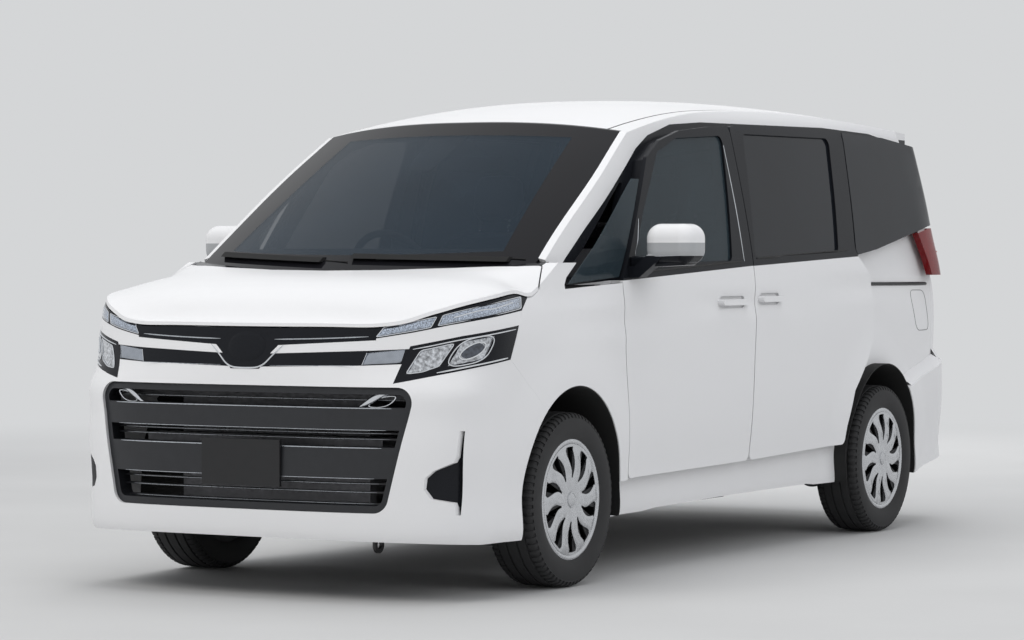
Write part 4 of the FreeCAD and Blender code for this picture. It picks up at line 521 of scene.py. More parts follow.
def onSkin(tree, point, toward, lift=0.0, reach=0.5):
    toward = Vector(toward).normalized()
    hit = tree.ray_cast(Vector(point) - toward * reach, toward, reach * 2)[0]
    if hit is None:
        return Vector(point) - toward * lift
    return hit - toward * lift


def alongRail(rail, share):
    points = [Vector(p) for p in rail]
    steps = [(b - a).length for a, b in zip(points, points[1:])]
    left = share * sum(steps)
    for a, b, step in zip(points, points[1:], steps):
        if left <= step + 1e-9:
            return a.lerp(b, left / max(step, 1e-9))
        left -= step
    return points[-1]


def between(low, high, along, up):
    return alongRail(low, along).lerp(alongRail(high, along), up)


def sided(points, side):
    return [(side * x, y, z) for x, y, z in points]


def placed(piece, body, made, *stands):
    piece.data.materials.append(made)
    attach(piece, body)
    if stands:
        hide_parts(*stands)
    return piece


# A thin round line through points, such as a chrome edge or a seal
def line(name, points, radius, body, made, closed=False, ends=1.0, order=3):
    data = bpy.data.curves.new(name, "CURVE")
    data.dimensions = "3D"
    data.bevel_depth = radius
    data.bevel_resolution = 2
    data.resolution_u = 6
    data.use_fill_caps = True
    spline = data.splines.new("NURBS")
    spline.points.add(len(points) - 1)
    for place, point in zip(spline.points, points):
        place.co = (*point, 1)
        place.radius = 1.0
    spline.points[0].radius = ends
    spline.points[-1].radius = ends
    spline.use_cyclic_u = closed
    spline.order_u = order
    spline.use_endpoint_u = not closed
    drawn = bpy.data.objects.new(name + "_path", data)
    mesh = bpy.data.meshes.new_from_object(drawn)
    bpy.data.objects.remove(drawn)
    bpy.data.curves.remove(data)
    mesh.name = name
    mesh.shade_smooth()
    piece = bpy.data.objects.new(name, mesh)
    scene.collection.objects.link(piece)
    return placed(piece, body, made)


def facingOut(mesh, toward):      # turns the faces of an open sheet away from the skin
    direction = Vector(toward)
    for face in mesh.faces:
        face.normal_update()
        if face.normal.dot(direction) > 0:
            face.normal_flip()


def rounded(x, y):      # a place in a square, moved into a circle
    return x * math.sqrt(1 - y * y / 2), y * math.sqrt(1 - x * x / 2)


def walled(piece, thick, offset=-1):
    wall = piece.modifiers.new("wall", "SOLIDIFY")
    wall.thickness = thick
    wall.offset = offset
    return piece


def onLine(knots, place):      # the second value of a broken line at a first value
    for (a1, b1), (a2, b2) in zip(knots, knots[1:]):
        if place <= a2 or (a2, b2) == knots[-1]:
            return b1 + (b2 - b1) * (place - a1) / (a2 - a1)


def looped(corners, shares):      # points along the sides of a closed outline
    return [tuple(a + (b - a) * t for a, b in zip(start, end))
            for start, end in zip(corners, corners[1:] + corners[:1]) for t in shares]


# A thin sheet stretched between two rails and laid on the skin
def patch(name, tree, low, high, toward, body, made, span=(0, 1, 0, 1),
          lift=0.001, thick=0.001, cells=(12, 3), crown=0.0, slant=0.0):
    mesh = bmesh.new()
    bmesh.ops.create_grid(mesh, x_segments=cells[0], y_segments=cells[1], size=1)
    for vert in mesh.verts:
        up = (vert.co.y + 1) / 2
        along = (vert.co.x + 1) / 2
        share = span[2] + (span[3] - span[2]) * up
        place = between(low, high, span[0] + (span[1] - span[0]) * along + slant * (up - 0.5), share)
        rise = lift + crown * (1 - vert.co.x ** 4) * (1 - vert.co.y ** 2)
        vert.co = onSkin(tree, place, toward, rise)
    facingOut(mesh, toward)
    return placed(walled(finished(name, mesh), thick), body, made)


# A row of shell points for a line between two rails, given as shares
def traced(tree, low, high, toward, shares, lift):
    return [onSkin(tree, between(low, high, a, b), toward, lift) for a, b in shares]


# Tyres with tread and wheel covers with ten wavy spokes

tyre = {
    "radius": 0.3195,
    "wall": [(0.078, 0.2150), (0.086, 0.2165), (0.0905, 0.2235), (0.0955, 0.2350), (0.0990, 0.2520),
             (0.1000, 0.2700), (0.0990, 0.2860), (0.0965, 0.2960), (0.0975, 0.2990), (0.0935, 0.3080),
             (0.0860, 0.3145)],
    "crown": 0.35,         # fall of the tread towards its edges, per square metre
    "grooves": (-0.060, -0.022, 0.022, 0.060),
    "grooveHalf": 0.0040,
    "grooveTaper": 0.6,
    "grooveDepth": 0.0065,
    "blocks": 72,
    "shoulder": (0.062, 0.300),      # the cuts lie beyond this distance from the middle and this radius
    "cut": 0.0012,         # narrowing of a shoulder cut on each side
    "cutDepth": 0.0045,
}
wheels = {
    "front_left": (0.7500, -1.4425, 1),
    "front_right": (-0.7500, -1.4425, -1),
    "rear_left": (0.7575, 1.4075, 1),
    "rear_right": (-0.7575, 1.4075, -1),
}
hubHeight = 0.3200


def tyreSection():
    crown = [(0.0760, 0.3172)]
    for middle in reversed(tyre["grooves"]):
        half = tyre["grooveHalf"]
        floorHalf = half * tyre["grooveTaper"]
        top = tyre["radius"] - tyre["crown"] * middle * middle
        crown += [(middle + half, top), (middle + floorHalf, top - tyre["grooveDepth"]),
                  (middle - floorHalf, top - tyre["grooveDepth"]), (middle - half, top)]
    crown += [(-0.0760, 0.3172)]
    return tyre["wall"] + crown + [(-x, r) for x, r in reversed(tyre["wall"])]


def spunRing(mesh, section, steps):      # a full turn of a section about the x axis
    start = [mesh.verts.new((offset, 0, radius)) for offset, radius in section]
    edges = [mesh.edges.new((a, b)) for a, b in zip(start, start[1:])]
    bmesh.ops.spin(mesh, geom=start + edges, cent=(0, 0, 0), axis=(1, 0, 0), dvec=(0, 0, 0),
                   angle=2 * math.pi, steps=steps, use_merge=True)
    bmesh.ops.remove_doubles(mesh, verts=mesh.verts, dist=0.00005)


def addTyre(name, place, made):
    x, y, side = place
    mesh = bmesh.new()
    spunRing(mesh, tyreSection(), tyre["blocks"] * 2)
    bmesh.ops.recalc_face_normals(mesh, faces=mesh.faces)
    pitch = 2 * math.pi / tyre["blocks"]
    beside, beyond = tyre["shoulder"]
    shoulder = []
    for face in mesh.faces:
        middle = face.calc_center_median()
        radius = math.hypot(middle.y, middle.z)
        turn = math.atan2(middle.z, middle.y) % pitch
        if abs(middle.x) > beside and radius > beyond and turn < pitch / 2:
            shoulder.append(face)
    bmesh.ops.inset_region(mesh, faces=shoulder, thickness=tyre["cut"], depth=-tyre["cutDepth"],
                           use_even_offset=True)
    bmesh.ops.translate(mesh, vec=(x, y, hubHeight), verts=mesh.verts)
    piece = finished("tyreTread_" + name, mesh, sharp=28)
    return placed(piece, "wheel_" + name, made, "tyre_" + name)


cover = {
    "spokes": 10,
    "rings": (0.030, 0.040, 0.052, 0.066, 0.080, 0.092, 0.105, 0.118, 0.131, 0.144, 0.157, 0.170,
              0.182, 0.193, 0.203),
    "slot": (0.085, 0.190),      # inner and outer end of a slot
    "columns": (0.0, 0.2, 0.4, 0.6, 0.8, 1.0, 1.12, 1.3, 1.5, 1.7, 1.88),      # 0 to 1 lies in the slot
    "slotColumns": 5,
    "slotWall": 0.009,
    "face": 0.0975,              # outermost place of the cover, from the tyre's middle
    "dish": 0.0040,
    "crest": 0.0050,
    "swirl": 0.10,
    "lip": [(-0.0112, 0.2030), (-0.0090, 0.2060), (-0.0070, 0.2105), (-0.0072, 0.2160), (-0.0100, 0.2215),
            (-0.0150, 0.2235), (-0.0200, 0.2235)],
    "hub": [(-0.0060, 0.0300), (-0.0030, 0.0290), (-0.0020, 0.0265), (-0.0020, 0.0240), (-0.0035, 0.0225),
            (-0.0020, 0.0200), (-0.0005, 0.0120), (0.0, 0.0010)],
}


def slotHalf(radius):      # half the angle that a slot takes at a radius
    start, end = cover["slot"]
    share = min(max((radius - start) / (end - start), 0), 1)
    return 0.035 + 0.125 * math.sin(math.pi * min(share * 0.62 + 0.06, 1)) ** 1.4


def coverPlace(radius, spoke, column):
    half = slotHalf(radius)
    share = cover["columns"][column]
    sector = 2 * math.pi / cover["spokes"]
    if share <= 1:
        angle = (share * 2 - 1) * half
        rise = 0.0
    else:
        crossing = share - 1
        angle = half + crossing * (sector - 2 * half)
        crest = math.sin(math.pi * crossing) ** 0.6
        valley = math.exp(-((crossing - 0.5 - 0.10 * math.sin(radius * 60)) / 0.10) ** 2)
        rise = cover["crest"] * (crest - 0.9 * valley)
    reach = min(max((radius - 0.052) / 0.05, 0), 1) * min(max((0.203 - radius) / 0.02, 0), 1)
    wave = cover["swirl"] * math.sin((radius - 0.05) * 30)
    angle += spoke * sector + wave * reach
    dome = -cover["dish"] * ((radius - 0.05) / 0.15) ** 2 - 0.006
    return dome + rise * reach, radius * math.sin(angle), radius * math.cos(angle)


def addCover(name, place, made):
    x, y, side = place
    columns = len(cover["columns"])
    steps = columns * cover["spokes"]
    inner, outer = cover["slot"]
    mesh = bmesh.new()
    spunRing(mesh, [(0, radius) for radius in cover["rings"]], steps)
    holes = []
    for face in mesh.faces:
        middle = face.calc_center_median()
        turn = (math.atan2(middle.y, middle.z) % (2 * math.pi)) / (2 * math.pi)
        inSlot = int(turn * steps) % columns < cover["slotColumns"]
        if inSlot and inner < math.hypot(middle.y, middle.z) < outer:
            holes.append(face)
    bmesh.ops.delete(mesh, geom=holes, context="FACES")
    for vert in mesh.verts:
        turn = (math.atan2(vert.co.y, vert.co.z) % (2 * math.pi)) / (2 * math.pi)
        spoke, column = divmod(round(turn * steps) % steps, columns)
        vert.co = coverPlace(math.hypot(vert.co.y, vert.co.z), spoke, column)
    first, last = cover["rings"][2], cover["rings"][-1]
    slots = [edge for edge in mesh.edges if edge.is_boundary
             and first < math.hypot(edge.verts[0].co.y, edge.verts[0].co.z) < last - 0.003]
    wall = bmesh.ops.extrude_edge_only(mesh, edges=slots)
    moved = [part for part in wall["geom"] if isinstance(part, bmesh.types.BMVert)]
    bmesh.ops.translate(mesh, vec=(-cover["slotWall"], 0, 0), verts=moved)
    spunRing(mesh, cover["lip"], 110)
    spunRing(mesh, cover["hub"], 40)
    bmesh.ops.recalc_face_normals(mesh, faces=mesh.faces)
    bmesh.ops.scale(mesh, vec=(side, 1, 1), verts=mesh.verts)
    if side < 0:
        bmesh.ops.reverse_faces(mesh, faces=mesh.faces)
    bmesh.ops.translate(mesh, vec=(x + side * cover["face"], y, hubHeight), verts=mesh.verts)
    piece = finished("wheelCover_" + name, mesh, sharp=40)
    return placed(piece, "wheel_" + name, made)


def addWheels():
    rubber = mouldedPlastic("tyreRubber", (0.022, 0.022, 0.023, 1), 0.72, pattern=500)
    silver = metal("coverSilver", (0.60, 0.61, 0.63, 1), 0.26)
    for name, place in wheels.items():
        addTyre(name, place, rubber)
        addCover(name, place, silver)
    print("wheels added")


# Front: lamps, grille, badge plinth and plate

ahead = (0, 1, 0)


def inward(side):
    return (-0.62 * side, 0.78, 0)


upperLamp = {
    "low": [(0.4840, -2.2550, 0.9170), (0.6200, -2.2070, 0.9400), (0.7360, -2.1410, 0.9660),
            (0.8240, -2.0280, 0.9880), (0.8400, -1.8140, 1.0140), (0.8360, -1.7450, 1.0300)],
    "high": [(0.5020, -2.2430, 0.9640), (0.5750, -2.2180, 0.9790), (0.6940, -2.1580, 1.0080),
             (0.7900, -2.0580, 1.0430), (0.8250, -1.8480, 1.0730), (0.8260, -1.7500, 1.0830)],
    "segments": ((0.035, 0.315), (0.345, 0.915)),      # shares of the length that are lit
    "band": (0.16, 0.72),                              # shares of the height
    "edge": 0.0017,
    "pipe": 0.0022,
}
lowerLamp = {
    "low": [(0.6120, -2.2864, 0.7650), (0.6905, -2.2551, 0.7725), (0.7137, -2.2254, 0.7895),
            (0.8081, -2.0892, 0.8178), (0.8480, -1.9076, 0.8424)],
    "high": [(0.6225, -2.2145, 0.8937), (0.7693, -2.1111, 0.9286), (0.8489, -1.8497, 0.9621)],
    "trim": (("Top", 0.90, 0.0026, 0.03, 0.97), ("Low", 0.075, 0.0034, 0.30, 0.96)),
    "reflector": (0.075, 0.330, 0.24, 0.83),
    "edge": 0.0022,
    "projector": (0.555, 0.52, 0.165, 0.33),      # middle along and up, half sizes
    "bowl": 0.95,                                 # shares of the projector's size
    "lens": 0.62,
    "ring": 0.66,
    "squareness": 3.2,
}


def addUpperLamp(tag, side, tree, chrome, clear):
    toward = inward(side)
    low, high = sided(upperLamp["low"], side), sided(upperLamp["high"], side)
    down, up = upperLamp["band"]
    for number, (start, end) in enumerate(upperLamp["segments"]):
        name = "%s_%d" % (tag, number)
        patch("upperLight_" + name, tree, low, high, toward, "body", clear, (start, end, down, up),
              lift=0.0016, thick=0.0012, cells=(18, 4), crown=0.0012, slant=0.02)
        corners = [(start - 0.010, down - 0.05), (end - 0.014, down - 0.05),
                   (end + 0.010, up + 0.04), (start + 0.012, up + 0.04)]
        edge = traced(tree, low, high, toward, looped(corners, (0.04, 0.2, 0.4, 0.6, 0.8, 0.96)), 0.0012)
        line("upperLightEdge_" + name, edge, upperLamp["edge"], "body", chrome, closed=True)
    inner = [(t / 12, 0.50 + 0.06 * math.sin(t * 2.1)) for t in range(5, 11)]
    line("upperLightPipe_" + tag, traced(tree, low, high, toward, inner, 0.0032), upperLamp["pipe"],
         "body", chrome)


def addLowerLamp(tag, side, tree, chrome, bowl, lens):
    toward = inward(side)
    low, high = sided(lowerLamp["low"], side), sided(lowerLamp["high"], side)
    for name, share, radius, start, end in lowerLamp["trim"]:
        shares = [(start + (end - start) * t / 14, share) for t in range(15)]
        line("lowerLamp%s_%s" % (name, tag), traced(tree, low, high, toward, shares, 0.0012), radius,
             "body", chrome, ends=0.5)
    patch("lowerReflector_" + tag, tree, low, high, toward, "body", bowl, lowerLamp["reflector"],
          lift=0.0010, thick=0.001, cells=(12, 8), slant=0.05)
    start, end, down, up = lowerLamp["reflector"]
    corners = [(start - 0.030, down), (end - 0.030, down), (end + 0.030, up), (start + 0.022, up)]
    edge = traced(tree, low, high, toward, looped(corners, (0.06, 0.25, 0.5, 0.75, 0.94)), 0.0016)
    line("lowerReflectorEdge_" + tag, edge, lowerLamp["edge"], "body", chrome, closed=True)
    addProjectorRings(tag, tree, low, high, toward, chrome)
    middle, height, wide, tall = lowerLamp["projector"]
    share = lowerLamp["bowl"]
    span = (middle - wide * share, middle + wide * share, height - tall * share, height + tall * share)
    patch("lowerProjectorBowl_" + tag, tree, low, high, toward, "body", bowl, span,
          lift=0.0008, thick=0.0008, cells=(10, 8), slant=0.05)
    share = lowerLamp["lens"]
    addLens("lowerLens_" + tag, tree, low, high, toward, (middle, height, wide * share, tall * share), lens)


def addProjectorRings(tag, tree, low, high, toward, chrome):
    middle, height, wide, tall = lowerLamp["projector"]
    power = lowerLamp["squareness"]
    outer, inner = [], []
    for turn in range(20):
        angle = 2 * math.pi * turn / 20
        across, up = math.cos(angle), math.sin(angle)
        reach = 1.12 * (abs(across) ** power + abs(up) ** power) ** (-1 / power)
        for ring, size in ((outer, reach), (inner, lowerLamp["ring"])):
            ring.append((middle + wide * size * across + 0.03 * up, height + tall * size * up))
    for number, (ring, radius, lift) in enumerate(((outer, 0.0024, 0.0018), (inner, 0.0030, 0.0030))):
        line("lowerProjectorRing_%s_%d" % (tag, number), traced(tree, low, high, toward, ring, lift), radius,
             "body", chrome, closed=True)


def addLamps():
    chrome = metal("lampChrome", (0.80, 0.82, 0.85, 1), 0.10)
    clear = lampLight("lampLight", (0.46, 0.52, 0.62, 1), 220)
    bowl = lampLight("lampBowl", (0.55, 0.57, 0.60, 1), 90)
    lens = lampLens()
    tree = treeOf("headlamps", "front_bumper", "fenders", "upper_grille")
    for tag, side in (("left", 1), ("right", -1)):
        addUpperLamp(tag, side, tree, chrome, clear)
        addLowerLamp(tag, side, tree, chrome, bowl, lens)
    print("lamps added")


def lampLight(name, color, ribs):
    made = material(name, color, roughness=0.16, metallic=0.75, coat=1.0)
    waves = made.node_tree.nodes.new("ShaderNodeTexWave")
    waves.inputs["Scale"].default_value = ribs / 6.0
    waves.inputs["Distortion"].default_value = 2.0
    place = made.node_tree.nodes.new("ShaderNodeTexCoord")
    made.node_tree.links.new(place.outputs["Object"], waves.inputs["Vector"])
    share = ranged(made, grain(made, ribs), 0, 1)
    dark = tuple(c * 0.35 for c in color[:3]) + (1,)
    pale = tuple(min(c * 1.5, 1) for c in color[:3]) + (1,)
    made.node_tree.links.new(mixed(made, share, dark, pale), shaderOf(made).inputs["Base Color"])
    bumpy(made, waves.outputs["Fac"], 0.5, 0.002)
    return made


def lampLens():
    color = (0.05, 0.06, 0.08, 1)
    made = material("lampLens", color, roughness=0.05, metallic=0.3, coat=1.0)
    mottle(made, color, scale=60, spread=0.6)
    return made


def addLens(name, tree, low, high, toward, place, made):
    middle, height, wide, tall = place
    mesh = bmesh.new()
    bmesh.ops.create_grid(mesh, x_segments=14, y_segments=14, size=1)
    for vert in mesh.verts:
        across, up = rounded(vert.co.x, vert.co.y)
        reach = min(across ** 2 + up ** 2, 1)
        point = between(low, high, middle + wide * across, height + tall * up)
        vert.co = onSkin(tree, point, toward, 0.0016 + 0.0035 * math.sqrt(1 - reach * 0.98))
    facingOut(mesh, toward)
    return placed(finished(name, mesh), "body", made)


nose = {
    "upperLine": 0.9130,        # height of the silver line in the upper strip
    "upperRise": 0.058,         # its rise towards the lamps, per square metre
    "upperEnds": (0.115, 0.478),
    "plinth": [(-0.1530, 0.8935), (-0.1190, 0.8660), (-0.0720, 0.8150), (0, 0.8115), (0.0720, 0.8150),
               (0.1190, 0.8660), (0.1530, 0.8935)],
    "plinthDome": (0.078, 0.052, 0.8890),      # half width, half height, middle height
    "lowerLine": (0.8215, 0.020),              # height and rise of the silver line in the lower strip
    "lowerPlaces": (0.105, 0.2, 0.3, 0.4, 0.46),
    "mirrorEnd": [(0.4640, -2.2792, 0.8265), (0.6010, -2.2360, 0.8345)],
    "mirrorTop": [(0.4780, -2.2664, 0.8705), (0.6120, -2.2060, 0.8850)],
    "bars": ((0.6030, 0.6805), (0.4350, 0.5430)),      # lower and upper edges of the grille's bars
    "ribs": (0.3450, 0.3850, 0.4150, 0.5700, 0.5901, 0.7061),
    "grilleHalf": (0.50, 0.315, 0.23),      # half width at a height, and its growth per metre
}


def addStripLines(tag, side, tree, chrome, satin, mirror):
    start, end = nose["upperEnds"]
    reach = [start + (end - start) * t / 10 for t in range(11)]
    spots = [(side * x, -2.3, nose["upperLine"] + nose["upperRise"] * x * x) for x in reach]
    line("upperStripLine_" + tag, [onSkin(tree, p, ahead, 0.0008) for p in spots], 0.0024, "body", satin,
         ends=0.3)
    low, high = sided(nose["mirrorEnd"], side), sided(nose["mirrorTop"], side)
    patch("lowerStripEnd_" + tag, tree, low, high, ahead, "body", mirror, (0, 0.97, 0.05, 0.97),
          lift=0.0012, thick=0.001, cells=(12, 4), crown=0.002)
    edge = traced(tree, low, high, ahead, ((0.0, 0.02), (0.0, 0.5), (0.0, 0.98)), 0.0016)
    line("lowerStripEndLine_" + tag, edge, 0.0014, "body", chrome)
    height, rise = nose["lowerLine"]
    spots = [(side * x, -2.3, height + rise * x * x) for x in nose["lowerPlaces"]]
    line("lowerStripLine_" + tag, [onSkin(tree, p, ahead, 0.0006) for p in spots], 0.0012, "body", satin,
         ends=0.4)


def addGrilleLines(satin):
    grille = treeOf("lower_grille")
    thin, highlightRadius = 0.0013, 0.0022
    edges = []
    # The bolder satin lines on the bars' upper edges are painted highlight: pale metal where light catches
    # those edges. The thin lines mark the bars' lower edges and the ribs.
    for low, high in nose["bars"]:
        edges += [(low, thin), (high, highlightRadius)]
    edges += [(height, thin) for height in nose["ribs"]]
    half, base, growth = nose["grilleHalf"]
    for number, (height, radius) in enumerate(edges):
        limit = half + (height - base) * growth
        drop = 0.002 if radius == highlightRadius else 0
        spots = [(limit * (t / 12 - 1), -2.4, height - drop) for t in range(25)]
        points = [onSkin(grille, p, ahead, 0.0006) for p in spots]
        line("grilleLine_%d" % number, points, radius, "body", satin, ends=0.5)


def addNose():
    chrome = metal("noseChrome", (0.78, 0.80, 0.83, 1), 0.12)
    satin = metal("noseSatin", (0.60, 0.63, 0.67, 1), 0.28)
    mirror = metal("stripMirror", (0.42, 0.45, 0.50, 1), 0.16)
    tree = treeOf("upper_grille", "headlamps", "front_bumper")
    for tag, side in (("left", 1), ("right", -1)):
        addStripLines(tag, side, tree, chrome, satin, mirror)
    edge = [onSkin(tree, (x, -2.35, z), ahead, 0.0010) for x, z in nose["plinth"]]
    line("plinthEdge", edge, 0.0034, "body", chrome, ends=0.3)
    addPlinth(tree, glossBlack("plinthBlack"))
    addGrilleLines(satin)
    print("nose added")


def addPlinth(tree, made):
    wide, tall, height = nose["plinthDome"]
    mesh = bmesh.new()
    bmesh.ops.create_grid(mesh, x_segments=16, y_segments=12, size=1)
    for vert in mesh.verts:
        across, up = rounded(vert.co.x, vert.co.y)
        reach = min(across * across + up * up, 1)
        place = (across * wide, -2.4, height + up * tall)
        vert.co = onSkin(tree, place, ahead, 0.0006 + 0.0045 * (1 - reach) ** 0.5)
    facingOut(mesh, ahead)
    placed(finished("plinthDome", mesh), "body", made)


# Grille blades, plate, camera housing and wipers

blade = {
    "low": [(0.4720, -2.30, 0.6770), (0.5100, -2.29, 0.6960), (0.5500, -2.28, 0.7200),
            (0.5900, -2.27, 0.7320), (0.6360, -2.25, 0.7350)],
    "high": [(0.4560, -2.30, 0.6840), (0.4950, -2.29, 0.7150), (0.5317, -2.28, 0.7400),
             (0.5880, -2.27, 0.7530), (0.6380, -2.25, 0.7560)],
    "loop": [(0.4850, 0.6830), (0.5080, 0.6990), (0.5400, 0.7180), (0.5900, 0.7230), (0.5840, 0.7080),
             (0.5620, 0.6880), (0.5250, 0.6790)],
    "tip": -2.3475,       # the bumper's foremost place, and its sweep back per square metre
    "sweep": 0.234619,
    "wall": 0.006,
}
plate = {
    "bolts": 0.105,        # from the middle line
    "height": 0.5380,
    "gap": 0.002,
    "corner": 0.010,
    "rim": 0.007,
    "depth": 0.0016,
    "lift": 0.0022,
}


def addGrilleTrim():
    silver = metal("bladeSilver", (0.72, 0.74, 0.77, 1), 0.20)
    chrome = metal("bladeEdge", (0.80, 0.82, 0.85, 1), 0.12)
    tip, sweep = blade["tip"], blade["sweep"]
    for tag, side in (("left", 1), ("right", -1)):
        low, high = sided(blade["low"], side), sided(blade["high"], side)
        mesh = bmesh.new()
        bmesh.ops.create_grid(mesh, x_segments=16, y_segments=4, size=1)
        for vert in mesh.verts:
            place = between(low, high, (vert.co.x + 1) / 2, (vert.co.y + 1) / 2)
            depth = 0.010 - 0.006 * (1 - vert.co.y ** 2)
            vert.co = (place.x, tip + sweep * place.x ** 2 + depth, place.z)
        facingOut(mesh, ahead)
        placed(walled(finished("grilleBlade_" + tag, mesh), blade["wall"]), "body", silver)
        points = [(side * x, tip + sweep * x * x + 0.012, z) for x, z in blade["loop"]]
        line("grilleLoop_" + tag, points, 0.0028, "body", chrome, closed=True)
    print("grille trim added")


def bevelled(mesh, edges, offset, segments):
    bmesh.ops.bevel(mesh, geom=edges, offset=offset, affect="EDGES", segments=segments, profile=0.5,
                    material=-1)


def addPlate():
    low, high = (Vector(c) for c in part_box("front_plate"))
    rubber = mouldedPlastic("plateFrame", (0.016, 0.016, 0.017, 1), 0.45)
    steel = metal("boltSteel", (0.55, 0.56, 0.58, 1), 0.3)
    gap, lift = plate["gap"], low.y + plate["lift"]
    mesh = bmesh.new()
    bmesh.ops.create_cube(mesh, size=1)
    bmesh.ops.scale(mesh, vec=(high.x - low.x - gap, 0.004, high.z - low.z - gap), verts=mesh.verts)
    through = [edge for edge in mesh.edges if abs(edge.verts[0].co.y - edge.verts[1].co.y) > 0.001]
    bevelled(mesh, through, plate["corner"], 5)
    front = min(mesh.faces, key=lambda face: face.calc_center_median().y)
    bmesh.ops.inset_region(mesh, faces=[front], thickness=plate["rim"], depth=-plate["depth"])
    bmesh.ops.translate(mesh, vec=((low.x + high.x) / 2, lift, (low.z + high.z) / 2), verts=mesh.verts)
    placed(finished("plateRim", mesh), "body", rubber)
    for tag, side in (("left", 1), ("right", -1)):
        bolt = bmesh.new()
        bmesh.ops.create_cone(bolt, cap_ends=True, segments=6, radius1=0.0075, radius2=0.0068, depth=0.004)
        bevelled(bolt, bolt.edges[:], 0.0008, 2)
        bmesh.ops.rotate(bolt, cent=(0, 0, 0), matrix=Matrix.Rotation(math.pi / 2, 3, "X"), verts=bolt.verts)
        bmesh.ops.translate(bolt, vec=(side * plate["bolts"], lift, plate["height"]), verts=bolt.verts)
        placed(finished("plateBolt_" + tag, bolt), "body", steel)


screenItems = {
    "housing": (0.0, 1.610, 0.085, 0.075),       # middle across and up, half width, half height
    "housingDepth": (0.012, 0.030),              # behind the glass at its edge, and more in its middle
    "mirrorSize": (0.240, 0.018, 0.062),
    "mirrorPlace": (0, -0.690, 1.570),
    "bladeLeft": [(0.6900, 1.1950), (0.5200, 1.2050), (0.3600, 1.2020), (0.1600, 1.1930)],
    "bladeRight": [(0.0500, 1.1850), (-0.1600, 1.1950), (-0.3600, 1.1990), (-0.5600, 1.2020)],
    "bladeRadius": 0.0042,
}


def addScreenItems():
    tree = treeOf("windscreen")
    moulded = mouldedPlastic("housingPlastic", (0.020, 0.020, 0.022, 1), 0.5)
    rubber = mouldedPlastic("wiperRubber", (0.010, 0.010, 0.010, 1), 0.6)
    x, z, wide, tall = screenItems["housing"]
    edge, more = screenItems["housingDepth"]
    mesh = bmesh.new()
    bmesh.ops.create_grid(mesh, x_segments=8, y_segments=8, size=1)
    for vert in mesh.verts:
        a, b = vert.co.x, vert.co.y
        narrow = 1 - 0.35 * (1 - b) / 2
        depth = edge + more * (1 - a ** 4) * (1 - b ** 4)
        vert.co = onSkin(tree, (x + a * wide * narrow, -1.2, z + b * tall), ahead, -depth)
    bmesh.ops.recalc_face_normals(mesh, faces=mesh.faces)
    placed(walled(finished("cameraHousing", mesh), 0.003), "body", moulded)
    mesh = bmesh.new()
    bmesh.ops.create_cube(mesh, size=1)
    bmesh.ops.subdivide_edges(mesh, edges=mesh.edges, cuts=2, use_grid_fill=True)
    bmesh.ops.scale(mesh, vec=screenItems["mirrorSize"], verts=mesh.verts)
    bevelled(mesh, [edge for edge in mesh.edges if edge.calc_face_angle(0) > 0.5], 0.007, 3)
    bmesh.ops.translate(mesh, vec=screenItems["mirrorPlace"], verts=mesh.verts)
    placed(finished("innerMirror", mesh), "body", moulded)
    for name in ("bladeLeft", "bladeRight"):
        points = [onSkin(tree, (a, -1.9, b), ahead, 0.006) for a, b in screenItems[name]]
        line("wiper_" + name, points, screenItems["bladeRadius"], "body", rubber, ends=0.5)
    print("screen items added")


# Sides: window surrounds, mirrors, seams, lamps at the rear

sides = {
    # ends of a painted highlight: a satin line along the lower part of the front door's division bar, where
    # light catches it
    "divider": [(0.8360, -0.9280, 1.1720), (0.8060, -0.8560, 1.3480)],
    "doorChrome": [(0.8340, 0.0190, 1.1850), (0.8190, 0.0180, 1.3000), (0.7900, 0.0160, 1.4600),
                   (0.7500, 0.0130, 1.6500)],
    "seal": 0.0036,
    "frontDoor": (0.05, 0.01, 0.024),        # seal: distance from the glass's ends, height over the belt
    "slidingDoor": (0.01, 0.01, 0.030),
}


def outward(side):
    return (-side, 0, 0)


def addSeal(name, tree, pane, kind, side, body, made):
    low, high = (Vector(c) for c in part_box(pane))
    start, end, over = sides[kind]
    height, rise = belt[kind]
    points = []
    for t in range(12):
        y = low.y + start + (high.y - low.y - start - end) * t / 11
        points.append(onSkin(tree, (side * 0.84, y, height + rise * y + over), outward(side), 0.0016, 0.06))
    line(name, points, sides["seal"], body, made, ends=0.6)


def addSideTrim():
    satin = metal("sideSatin", (0.70, 0.72, 0.75, 1), 0.22)
    rubber = mouldedPlastic("sealRubber", (0.012, 0.012, 0.012, 1), 0.6)
    sliding = treeOf("sliding_doors", "sliding_door_glass")
    for tag, side in (("left", 1), ("right", -1)):
        toward = outward(side)
        door, pane = "front_door_" + tag, "front_door_glass_" + tag
        tree = treeOf(door, pane)
        # The satin line on the division bar is painted highlight, not a trim along the whole bar.
        foot, head = (Vector(p) for p in sided(sides["divider"], side))
        points = [onSkin(tree, foot.lerp(head, t / 6), toward, 0.0012, 0.03) for t in range(7)]
        line("dividerHighlight_" + tag, points, 0.0020, door, satin, ends=0.6)
        points = [onSkin(tree, p, toward, 0.0010, 0.06) for p in sided(sides["doorChrome"], side)]
        line("doorEdgeLine_" + tag, points, 0.0026, door, satin, ends=0.7)
        addSeal("doorSeal_" + tag, tree, pane, "frontDoor", side, door, rubber)
        addSeal("slidingSeal_" + tag, sliding, "sliding_door_glass", "slidingDoor", side, "body", rubber)
    print("side trim added")


astern = (0, -1, 0)
tail = {
    "lampLine": (0.70, 0.11, 1.225),         # inner end across, length, height
    "lampSweep": (2.25, 0.16),               # its place along the van, and how far it runs forward
    "grip": (0.33, 1.010, 0.0085),           # half width, height, radius
    "wiper": (0.34, 1.240, 0.03),            # length, height at the hub, rise
    "wiperRadius": 0.0060,
    "hub": (0.026, 0.018, 0.022),            # radius at the foot and at the top, depth
}


